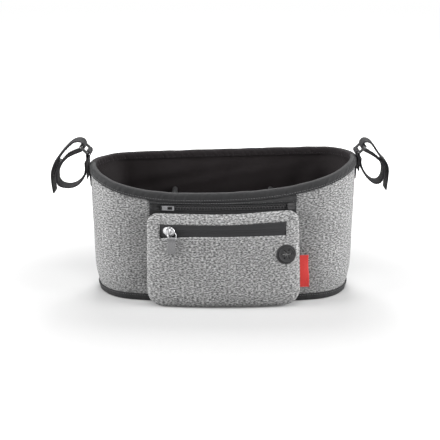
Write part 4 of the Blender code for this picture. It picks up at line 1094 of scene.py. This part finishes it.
u = np.linspace(-WINDOW_HALF - 0.0008, WINDOW_HALF + 0.0008, 480)[:, None]
share = np.array([0.0, 0.05, 0.12, 0.20, 0.28, 0.36, 0.5, 0.7, 0.85, 1.0])[None, :]
ridge = 0.00030 * np.exp(-((share - 0.13) / 0.10) ** 2)
border = ease(share, 0.84, 1.0) + ease(np.abs(u), WINDOW_HALF - 0.0016, WINDOW_HALF)
for label, sign in (("upper", 1), ("lower", -1)):
    z = WINDOW_MID + sign * (0.00003 + 0.0082 * share) + 0.0012 * (sign > 0) * share * ease(u, 0.0, 0.07)
    coil = 1 + 0.35 * np.sin(2 * math.pi * u / 0.00125 + sign)
    crease = 0.00010 * ripple(u + 0.3 * z, 0.018, 2.0) * share
    front = flat(u, z, coil_face(u) + ridge * coil + crease - 0.0008 * np.minimum(border, 1))
    sheet("coil_tape_" + label, "zipper_tape", zip_cloth, front, flat(u, z, coil_face(u) - 0.0009),
          u, z, ["wallet_tape_" + label])


# Wallet slider, loop and ribbon. A small round slider, cast and nickel plated, with a domed top;
# a bent wire loop hangs from its bridge and carries a plain grey ribbon folded over it.
def nickel_links(wire):
    """Bright nickel plate with fine rubbing marks and a few duller patches."""
    rubbed = speckle(wire, 700.0, 3.0)
    patch = speckle(wire, 180.0)
    return {"Base Color": patch.blend((0.34, 0.34, 0.35), (0.62, 0.62, 0.63)),
            "Roughness": 0.20 + rubbed * 0.16, "Normal": bumps(wire, rubbed, 0.08, 0.0002)}


nickel = new_finish("nickel_plate", {"Metallic": 1.0}, nickel_links)
rounded("wallet_slider_body", "wallet_slider", "wallet_slider", nickel, 0.00022)
SLIDER_U = 0.0103 - WINDOW_HALF
DOME_HALF, DOME_CENTRE, DOME_DROP = 0.0062, 0.0014, 0.0010
ahead, upward, outward = frame_on(SLIDER_U, WINDOW_MID)
seat = flat(SLIDER_U, WINDOW_MID, 0.0)


def on_slider(x, y, z):
    """Rigid place of the wallet slider: x along the chain, y up it, z out from the cloth."""
    x, y, z = (np.asarray(v, float)[..., None] for v in np.broadcast_arrays(x, y, z))
    return seat + x * ahead + y * upward + z * outward


plate = float(coil_face(SLIDER_U)) + GAP + 0.0012
angle = circle(60)[None, :]
across = np.linspace(0, 1, 18)[:, None]
bulge = np.sin(across * math.pi / 2)
dome_x = DOME_CENTRE + DOME_HALF * 1.06 * np.cos(angle) * bulge
dome_y = DOME_HALF * (1 - 0.06 * np.cos(angle)) * np.sin(angle) * bulge - DOME_DROP
dome_z = plate - 0.0006 + 0.0022 * np.cos(across * math.pi / 2) ** 0.8 + 0 * angle
dish = -0.0005 * np.exp(-(((dome_x - 0.0030) / 0.0018) ** 2 + (dome_y / 0.0022) ** 2))
points = np.stack([on_slider(dome_x, dome_y, dome_z + dish),
                   on_slider(dome_x, dome_y, plate - 0.0011 + 0 * dome_x)])
brim = 17 * 60 + np.arange(60)
brim_next = np.roll(brim, -1)
piece("wallet_slider_dome", "wallet_slider", "polished_nickel", nickel, points,
      np.concatenate([lattice(18, 60, across=True), lattice(18, 60, across=True, start=18 * 60),
                      np.stack([brim, brim_next, brim_next + 18 * 60, brim + 18 * 60], -1)]))

PIVOT_Y, PIVOT_LIFT, LOOP_WIRE, LOOP_LENGTH = 0.0008, 0.0046, 0.00065, 0.0095
RIBBON_WIDTH, RIBBON_LENGTH, RIBBON_THICK, RIBBON_ASIDE = 0.0096, 0.0180, 0.0009, 0.0045
pivot = float(coil_face(SLIDER_U)) + COIL_RECESS + PIVOT_LIFT


def spline(points, steps, closed=False):
    """Catmull-Rom curve through the points with the same number of steps to each span."""
    points = np.asarray(points, float)
    if closed:
        ends = np.vstack([points[-1], points, points[:2]])
    else:
        ends = np.vstack([2 * points[0] - points[1], points, 2 * points[-1] - points[-2]])
    a, b, c, d = ends[:-3, None], ends[1:-2, None], ends[2:-1, None], ends[3:, None]
    s = (np.arange(steps) / steps)[None, :, None]
    line = 0.5 * (2 * b + (c - a) * s + (2 * a - 5 * b + 4 * c - d) * s ** 2
                  + (3 * b - a - 3 * c + d) * s ** 3)
    return np.vstack([line.reshape(-1, 2), points[:1] if closed else points[-1:]])


def smooth_path(points, count, closed=False):
    """The same curve read at a count of even steps of its length."""
    line = spline(points, 12, closed)
    run = run_of(line)
    even = np.linspace(0, run[-1], count + 1 if closed else count)
    line = np.stack([np.interp(even, run, line[:, k]) for k in range(2)], 1)
    return line[:-1] if closed else line


def tube(line, radius, sides, closed=True):
    """Round section of a radius carried along a line, its frame turned with the line's own."""
    if closed:
        ahead = np.roll(line, -1, axis=0) - np.roll(line, 1, axis=0)
    else:
        ahead = np.gradient(line, axis=0)
    normal = np.linalg.svd(line - line.mean(axis=0))[2][2]
    side = unit(np.cross(unit(ahead), normal))
    turn = circle(sides)
    return (line[:, None] + radius * (np.cos(turn)[:, None] * side[:, None]
                                      + np.sin(turn)[:, None] * normal))


bend = [(-0.0010, -0.0004), (0.0010, 0.0), (0.0040, 0.0), (0.0072, -0.0008), (0.0096, -0.0032),
        (0.0103, -0.0062), (0.0097, -0.0089), (0.0075, -0.0095), (0.0045, -0.0095),
        (0.0028, -0.0094), (0.0010, -0.0086), (0.0002, -0.0064), (-0.0008, -0.0030)]
line = smooth_path(bend, 110, closed=True)
line = on_slider(line[:, 0], PIVOT_Y + line[:, 1], pivot + 0 * line[:, 0])
piece("wallet_wire_loop", "wallet_pull", "polished_nickel", nickel, tube(line, LOOP_WIRE, 14),
      lattice(110, 14, around=True, across=True), replaced=["wallet_loop"])
lift = pivot - plate
arch = smooth_path([(0.0036, -0.0006), (0.0034, lift * 0.45), (0.0022, lift + 0.0010),
                    (0.0000, lift + 0.0016), (-0.0020, lift + 0.0008), (-0.0030, lift * 0.40),
                    (-0.0031, -0.0006)], 40)
line = on_slider(0.0026 + 0 * arch[:, 0], PIVOT_Y + arch[:, 0], plate + arch[:, 1])
piece("wallet_slider_bridge", "wallet_slider", "polished_nickel", nickel,
      tube(line, 0.00090, 12, closed=False), capped(40, 12))


def ribbon_links(wire):
    """Grosgrain ribbon: fine ribs across its width, heathered in two greys."""
    _, v = directions(wire)
    rib = v.wave(0.0009)
    fleck = yarn(wire, 1600.0, 700.0)
    return {"Base Color": (fleck * 1.6 - 0.3).blend((0.14, 0.14, 0.145), (0.33, 0.33, 0.335)),
            "Normal": bumps(wire, rib * 0.6 + fleck, 0.5, 0.0003)}


grey_ribbon = new_finish("grey_ribbon_cloth", {"Roughness": 0.82, "Sheen Weight": 0.15}, ribbon_links)


def sideways(line):
    """Direction at right angles to a line in its plane: to its right as it runs on."""
    ahead = unit(np.gradient(line, axis=0))
    return np.stack([ahead[:, 1], -ahead[:, 0]], 1)


bar = -LOOP_LENGTH
wrap = LOOP_WIRE + GAP + RIBBON_THICK / 2
close = RIBBON_THICK / 2 + GAP / 2
angle = math.pi - np.linspace(0, math.pi, 9)
track = [(-close, bar - RIBBON_LENGTH), (-close, bar - 0.010), (-close, bar - wrap * 2.4)]
track += list(zip(wrap * np.cos(angle), bar + wrap * np.sin(angle)))
track += [(close, bar - wrap * 2.4), (close + 0.0002, bar - 0.010), (close, bar - RIBBON_LENGTH)]
line = smooth_path(track, 120)
side_line = -sideways(line)
width = RIBBON_WIDTH / 2 * blunt(np.cos(circle(24)), 0.35)
thick = RIBBON_THICK / 2 * blunt(np.sin(circle(24)), 0.6)
spot = line[:, None] + thick[None, :, None] * side_line[:, None]
points = on_slider(RIBBON_ASIDE + width + 0 * spot[..., 0], PIVOT_Y + spot[..., 1],
                   pivot + spot[..., 0])
swept("ribbon_tab", "wallet_pull", "grey_ribbon", grey_ribbon, points, width,
      np.linspace(0, 0.046, 120)[:, None], ["ribbon_pull"])
sew = np.linspace(-RIBBON_WIDTH / 2 + 0.001, RIBBON_WIDTH / 2 - 0.001, 60)
track = on_slider(RIBBON_ASIDE + sew, PIVOT_Y + bar - 0.0046, pivot + close + RIBBON_THICK / 2)
stitches("ribbon_stitches", track, np.tile(outward, (60, 1)), charcoal_thread, "grey_ribbon",
         body="wallet_pull", pitch=0.0016, length=0.0012, thread=0.00016)


# Cable port. A moulded rubber grommet pressed into the panel: a domed flange, a raised ring and
# six soft petals parted by narrow slits that meet in its middle, over a dark hole.
PORT_U, PORT_Z, PORT_RADIUS = WALLET_HALF - 0.0175, 0.0655, 0.0119
PETAL_REACH, SLIT_HALF, PETAL_TOP = 0.0068, 0.00062, 0.00130


def on_port(x, y, height):
    """Place on the port: x along the wallet, y up it, and a height above its face."""
    u, z = PORT_U + x, PORT_Z + y
    return flat(u, z, pillow(u, z) + height)


def rubber_links(wire):
    """Dull black rubber: a fine moulded grain and a little dust in patches."""
    grain = speckle(wire, 1100.0)
    dust = speckle(wire, 230.0)
    return {"Base Color": dust.blend((0.020, 0.020, 0.021), (0.036, 0.036, 0.037)),
            "Roughness": 0.48 + dust * 0.2, "Normal": bumps(wire, grain, 0.2, 0.0002)}


rubber = new_finish("port_rubber", {"Specular IOR Level": 0.3}, rubber_links)
profile = np.array([[PORT_RADIUS - 0.0006, -0.0006], [PORT_RADIUS, 0.0002], [PORT_RADIUS, 0.00055],
                    [PORT_RADIUS - 0.0004, 0.00095], [0.01075, 0.00118], [0.01020, 0.00110],
                    [0.00990, 0.00082], [0.00962, 0.00078], [0.00940, 0.00095], [0.00932, 0.00160],
                    [0.00905, 0.00190], [0.00870, 0.00192], [0.00846, 0.00172], [0.00830, 0.00150],
                    [0.00780, 0.00146], [0.00700, 0.00146], [0.00668, 0.00138], [0.00655, 0.00110],
                    [0.00655, 0.00010], [0.0030, -0.00005], [0.0004, -0.00005], [0.0004, -0.0010],
                    [0.0060, -0.0010]])
angle = circle(96)[:, None]
points = on_port(profile[None, :, 0] * np.cos(angle), profile[None, :, 0] * np.sin(angle),
                 profile[None, :, 1] + 0 * angle)
piece("port_grommet", "organizer", "black_rubber", rubber, points,
      lattice(96, len(profile), around=True, across=True), replaced=["headphone_port"])
HALF_PETAL, SOFT_EDGE = math.radians(30), 0.00042
shares = np.linspace(0, 1, 18)[:, None]
swing = HALF_PETAL * np.sin(np.linspace(-math.pi / 2, math.pi / 2, 19))[None, :]
apex = SLIT_HALF / math.sin(HALF_PETAL)
stretch = np.sqrt((PETAL_REACH + 0.0006) ** 2 - (apex * np.sin(swing)) ** 2) - apex * np.cos(swing)
run = shares * stretch
from_slit = run * np.sin(HALF_PETAL - np.abs(swing))
fall = 0.00030 * np.exp(-(run / 0.0012) ** 2) - seam_dip(from_slit, SOFT_EDGE, SOFT_EDGE)
petals, petal_faces = [], []
for i in range(6):
    mid = math.radians(60 * i + 30)
    x = apex * math.cos(mid) + run * np.cos(mid + swing)
    y = apex * math.sin(mid) + run * np.sin(mid + swing)
    points, faces = slab(on_port(x, y, PETAL_TOP - fall), on_port(x, y, 0.0001 + 0 * x))
    petal_faces.append(faces + i * len(points))
    petals.append(points)
piece("port_petals", "organizer", "black_rubber", rubber, np.concatenate(petals),
      np.concatenate(petal_faces))


# Side tag. A red satin ribbon folded double and caught in the wallet's right seam; left bare.
def red_links(wire):
    """Satin weave: fine ribs along the ribbon, flecked a little lighter and darker."""
    u, _ = directions(wire)
    fleck = yarn(wire, 500.0, 1500.0)
    return {"Base Color": (fleck * 1.4 - 0.2).blend((0.50, 0.014, 0.012), (0.70, 0.034, 0.026)),
            "Normal": bumps(wire, u.wave(0.0006) * 0.5 + fleck, 0.35, 0.0003)}


red_ribbon = new_finish("red_ribbon_cloth", {"Roughness": 0.5, "Sheen Weight": 0.2}, red_links)
TAG_LOW, TAG_HIGH, TAG_REACH, TAG_THICK = 0.0219, 0.0610, 0.0110, 0.0007
tag_start = WALLET_HALF + 0.0001
angle = np.linspace(-math.pi / 2, math.pi / 2, 13)
fold = TAG_THICK + GAP / 2
legs = np.linspace(0, 1, 16)
outline = np.concatenate([
    np.stack([tag_start + (TAG_REACH - fold) * legs, 0 * legs - fold], 1),
    np.stack([tag_start + TAG_REACH - fold + fold * np.cos(angle), fold * np.sin(angle)], 1)[1:-1],
    np.stack([tag_start + (TAG_REACH - fold) * legs[::-1], 0 * legs + fold], 1),
    np.stack([tag_start + (TAG_REACH - 2 * fold) * legs, 0 * legs + GAP / 2], 1),
    np.stack([tag_start + (TAG_REACH - 2 * fold) * legs[::-1], 0 * legs - GAP / 2], 1)])
z = np.linspace(TAG_LOW, TAG_HIGH, 70)[:, None]
away = (outline[None, :, 0] - tag_start) / TAG_REACH
curl = 0.0011 * away ** 2 * np.cos((z - TAG_LOW) / (TAG_HIGH - TAG_LOW) * 5.0) + 0.0004 * away
pinch = 1 - 0.25 * (1 - away) ** 2
points = flat(outline[None, :, 0] - 0.0006 * (away > 0.9) * np.abs(np.sin(z * 90)),
              z + 0.0006 * away * ripple(z, 0.03, 1.0), SHELL_OUT + outline[None, :, 1] * pinch + curl)
swept("bare_side_tag", "organizer", "red_ribbon", red_ribbon, points, outline[None, :, 0], z,
      ["side_tag"])


# Straps. At each top corner a grey webbing tab is folded round a black wire ring and sewn to the
# side with a crossed box. A black webbing strap runs through the ring, round the handlebar and
# back on itself, held by hook and loop tape, and its free tail hangs down outside.
STRAP_WIDTH, STRAP_THICK, GRIP_TAPE, RING_WIRE = 0.025, 0.0024, 0.0009, 0.0018
RING_X, RING_Z, RING_REACH_X, RING_REACH_Z = 0.0020, 0.0072, 0.0086, 0.0084
TAB_THICK, TAB_LOW, TAB_RETURN = 0.0012, 0.0290, 0.0200
STRAP_ROUTE = np.array([
    (0.0064, -0.0020), (0.0062, -0.0090), (0.0080, -0.0155), (0.0117, -0.0225), (0.0170, -0.0286),
    (0.0234, -0.0322), (0.0296, -0.0310), (0.0334, -0.0258), (0.0344, -0.0185), (0.0334, -0.0110),
    (0.0294, -0.0030), (0.0234, 0.0034), (0.0166, 0.0070), (0.0104, 0.0098), (0.0070, 0.0142),
    (0.0082, 0.0192), (0.0128, 0.0216), (0.0181, 0.0200), (0.0228, 0.0150)])
TAIL_END = np.array([(0.0392, -0.0270), (0.0386, -0.0340), (0.0378, -0.0405)])


def webbing(wire, shade, pale):
    """Ribbed webbing: round ribs along its length crossed by fine picks, paler fuzz on its worn
    edges, from a map whose u runs across it and v along it."""
    u, v = directions(wire)
    rib = u.wave(0.0016)
    pick = v.wave(0.0011, rib * 1.2)
    fuzz = yarn(wire, 1100.0, 1100.0)
    edge = ((u * u) ** 0.5 - 0.0103) * 500.0
    edge = edge.maths("MINIMUM", edge.maths("MAXIMUM", edge, 0.0), 1.0)
    level = fuzz * 0.5 + rib * 0.10 + pick * 0.10 + edge * 0.55
    return {"Base Color": level.blend(shade, pale), "Roughness": 0.72 - level * 0.10,
            "Normal": bumps(wire, rib * 0.6 + pick * 0.4 + fuzz * 0.4, 0.55, 0.0004)}


WEBBING_LOOK = {"Sheen Weight": 0.06, "Specular IOR Level": 0.12}
black_webbing = new_finish("black_webbing", WEBBING_LOOK, lambda wire: webbing(
    wire, (0.0045, 0.0042, 0.0050), (0.024, 0.023, 0.026)))
grey_webbing = new_finish("grey_webbing", WEBBING_LOOK, lambda wire: webbing(
    wire, (0.006, 0.0056, 0.0064), (0.050, 0.048, 0.052)))


def pile_links(wire):
    """Hook and loop tape: a coarse black nap of tufts."""
    tuft = noise(wire, cloth_map(wire, (1300.0, 1300.0)), 1.0, 3.0, 0.7)
    return {"Base Color": tuft.blend((0.005, 0.0046, 0.0056), (0.030, 0.028, 0.032)),
            "Normal": bumps(wire, tuft, 1.0, 0.0009)}


pile = new_finish("hook_and_loop_pile", {"Roughness": 0.95, "Sheen Weight": 0.3}, pile_links)


def wire_links(wire):
    """Black enamelled wire, glossy, with fine scuffs here and there."""
    scuff = speckle(wire, 420.0, 4.0, 0.7)
    return {"Base Color": ((scuff - 0.5) * 3.0).blend((0.012, 0.012, 0.013), (0.055, 0.055, 0.058)),
            "Roughness": 0.16 + scuff * 0.22, "Normal": bumps(wire, scuff, 0.12, 0.0002)}


enamel = new_finish("black_enamel", {"Coat Weight": 0.3}, wire_links)
side_y = float(section(SIDE_RIM_Z)[-1])
loop_points = spline(STRAP_ROUTE[:12], 3)
contact = loop_points[24:32]
stack = STRAP_THICK + 2 * GRIP_TAPE + 3 * GAP
tail = (contact + sideways(contact) * stack)[::-1]
strap_points = np.vstack([loop_points, spline(STRAP_ROUTE[11:], 3)[1:], tail, spline(TAIL_END, 2)])
wrap = RING_WIRE + GAP + TAB_THICK / 2
over = GAP + BINDING + GAP + TAB_THICK / 2 + 0.0006
lean_in = (TOP_HALF - BASE_HALF) / SIDE_RIM_Z
outside = over + TAB_THICK + GAP
angle = np.radians(180 - 30 * np.arange(7))
tab_points = np.vstack([
    [(GAP + 0.0008 - lean_in * TAB_LOW, -TAB_LOW), (GAP + 0.0012 - lean_in * BINDING_DROP, -0.0135),
     (over, GAP - BINDING_DROP), (over, 0.0006), (RING_X - wrap * 0.93, RING_Z - wrap * 0.5)],
    np.stack([RING_X + wrap * np.cos(angle), RING_Z + wrap * np.sin(angle)], 1),
    [(outside, 0.0006), (outside, -TAB_RETURN)]])


def band(name, points, count, width, thick, slot, finish, place, replaced, bow=0.0):
    """A flat band along a line: a rounded section a width across, its edges bowing a little."""
    line = smooth_path(points, count)
    normal = sideways(line)
    turn = circle(40)
    y = width / 2 * blunt(np.cos(turn), 0.30)
    rise = thick / 2 * blunt(np.sin(turn), 0.7)
    run = run_of(line)[:, None]
    cup = bow * (2 * y[None, :] / width) ** 2 * ripple(run, 0.05, 2.0)
    spot = line[:, None] + (rise[None, :] + cup)[..., None] * normal[:, None]
    frayed = y[None, :] * (1 + 0.012 * ripple(run, 0.006, 3.0))
    swept(name, "organizer", slot, finish, place(spot[..., 0], frayed, spot[..., 1]), y[None, :],
          run, replaced)


def seam_on(line, normal, lift, y, place):
    """A track for stitches on a band: its line lifted along its normal, y from the middle."""
    track, above = (place(spot[:, 0], y, spot[:, 1])
                    for spot in (line + normal * lift, line + normal * (lift + 0.001)))
    return track, above - track


# How far each strap is moved from its place in the solid: up above the rim, up where it stands
# out, and outwards between two distances from the corner.
MOVED = {-1: (0.0058, 0.0022, 0.0098, 0.008, 0.040), 1: (-0.0036, -0.0032, 0.0016, 0.006, 0.036)}
RING_CORNER = 0.22


for side, turn in (("left", -1), ("right", 1)):
    corner_z = SIDE_RIM_Z + turn * RIM_LIFT * TOP_HALF
    corner_x = float(wall(2.0, corner_z, 0.0)[0])

    def place(x, y, z, turn=turn, corner_x=corner_x, corner_z=corner_z):
        """Place measured from the rim's side corner: x outwards, y back, z up. The left strap
        is pulled higher and stands wider than the right one."""
        x, y, z = np.broadcast_arrays(x, y, z)
        near_rim, far_out, wider, low_x, high_x = MOVED[turn]
        low_part = ease(-z, 0.024, 0.040) if turn < 0 else 1.0
        raised = z + near_rim * ease(z, -0.012, 0.010) + far_out * ease(x, 0.008, 0.030) * low_part
        spread = x + wider * ease(x, low_x, high_x)
        return np.stack([(corner_x + spread) * turn, side_y + y, corner_z + raised], -1)

    band(side + "_webbing_tab", tab_points, 150, STRAP_WIDTH, TAB_THICK, "anchor_webbing",
         grey_webbing, place, [side + "_anchor_tab"])
    band(side + "_webbing_strap", strap_points, 330, STRAP_WIDTH, STRAP_THICK,
         "strap_webbing", black_webbing, place, [side + "_strap"], bow=0.0004)
    first = STRAP_THICK / 2 + GAP + GRIP_TAPE / 2
    for kind, offset in (("_loop_tape", first), ("_hook_tape", first + GRIP_TAPE + GAP)):
        line = contact + sideways(contact) * offset
        band(side + kind + "_pile", line[1:-1], 60, STRAP_WIDTH - 0.003, GRIP_TAPE + 0.0002,
             "grip_tape", pile, place, [side + kind])
    reach_y = STRAP_WIDTH / 2 + 0.001 + RING_WIRE
    arcs = []
    for cx, cy, start in ((1, -1, -90), (1, 1, 0), (0, 1, 90), (0, -1, 180)):
        sweep = np.radians(start + np.linspace(0, 90, 9))
        middle = (abs(cx - RING_CORNER), cy * (1 - RING_CORNER))
        arcs.append(np.stack([middle[0] + RING_CORNER * np.cos(sweep),
                              middle[1] + RING_CORNER * np.sin(sweep)], 1))
    line = smooth_path(np.concatenate(arcs), 140, closed=True)
    line = place(RING_X + RING_REACH_X * line[:, 0], reach_y * line[:, 1],
                 RING_Z + RING_REACH_Z * line[:, 0])
    piece(side + "_wire_ring", "organizer", "ring_black", enamel, tube(line, RING_WIRE, 18),
          lattice(140, 18, around=True, across=True), replaced=[side + "_ring"])

    line = smooth_path(strap_points, 500)
    normal = sideways(line)
    for label, y in (("front", -0.0106), ("rear", 0.0106)):
        track, up = seam_on(line[25:-8], normal[25:-8], STRAP_THICK / 2, y, place)
        stitches(f"{side}_strap_stitches_{label}", track, up, black_thread, "strap_webbing")
    box_x, box_y = outside + TAB_THICK / 2, 0.0094
    box_low, box_high = -TAB_RETURN + 0.0022, -0.0028
    box = np.array([(-box_y, box_low), (box_y, box_low), (box_y, box_high), (-box_y, box_high),
                    (-box_y, box_low), (box_y, box_high), (box_y, box_low + 0.0001),
                    (-box_y, box_high - 0.0001)])
    path_y, path_z = np.linspace(box[:-1], box[1:], 40, axis=1).reshape(-1, 2).T
    track = place(box_x, path_y, path_z)
    stitches(side + "_tab_box_stitches", track, np.tile((float(turn), 0.0, 0.0), (len(track), 1)),
             black_thread, "anchor_webbing", pitch=0.0024, length=0.0019)
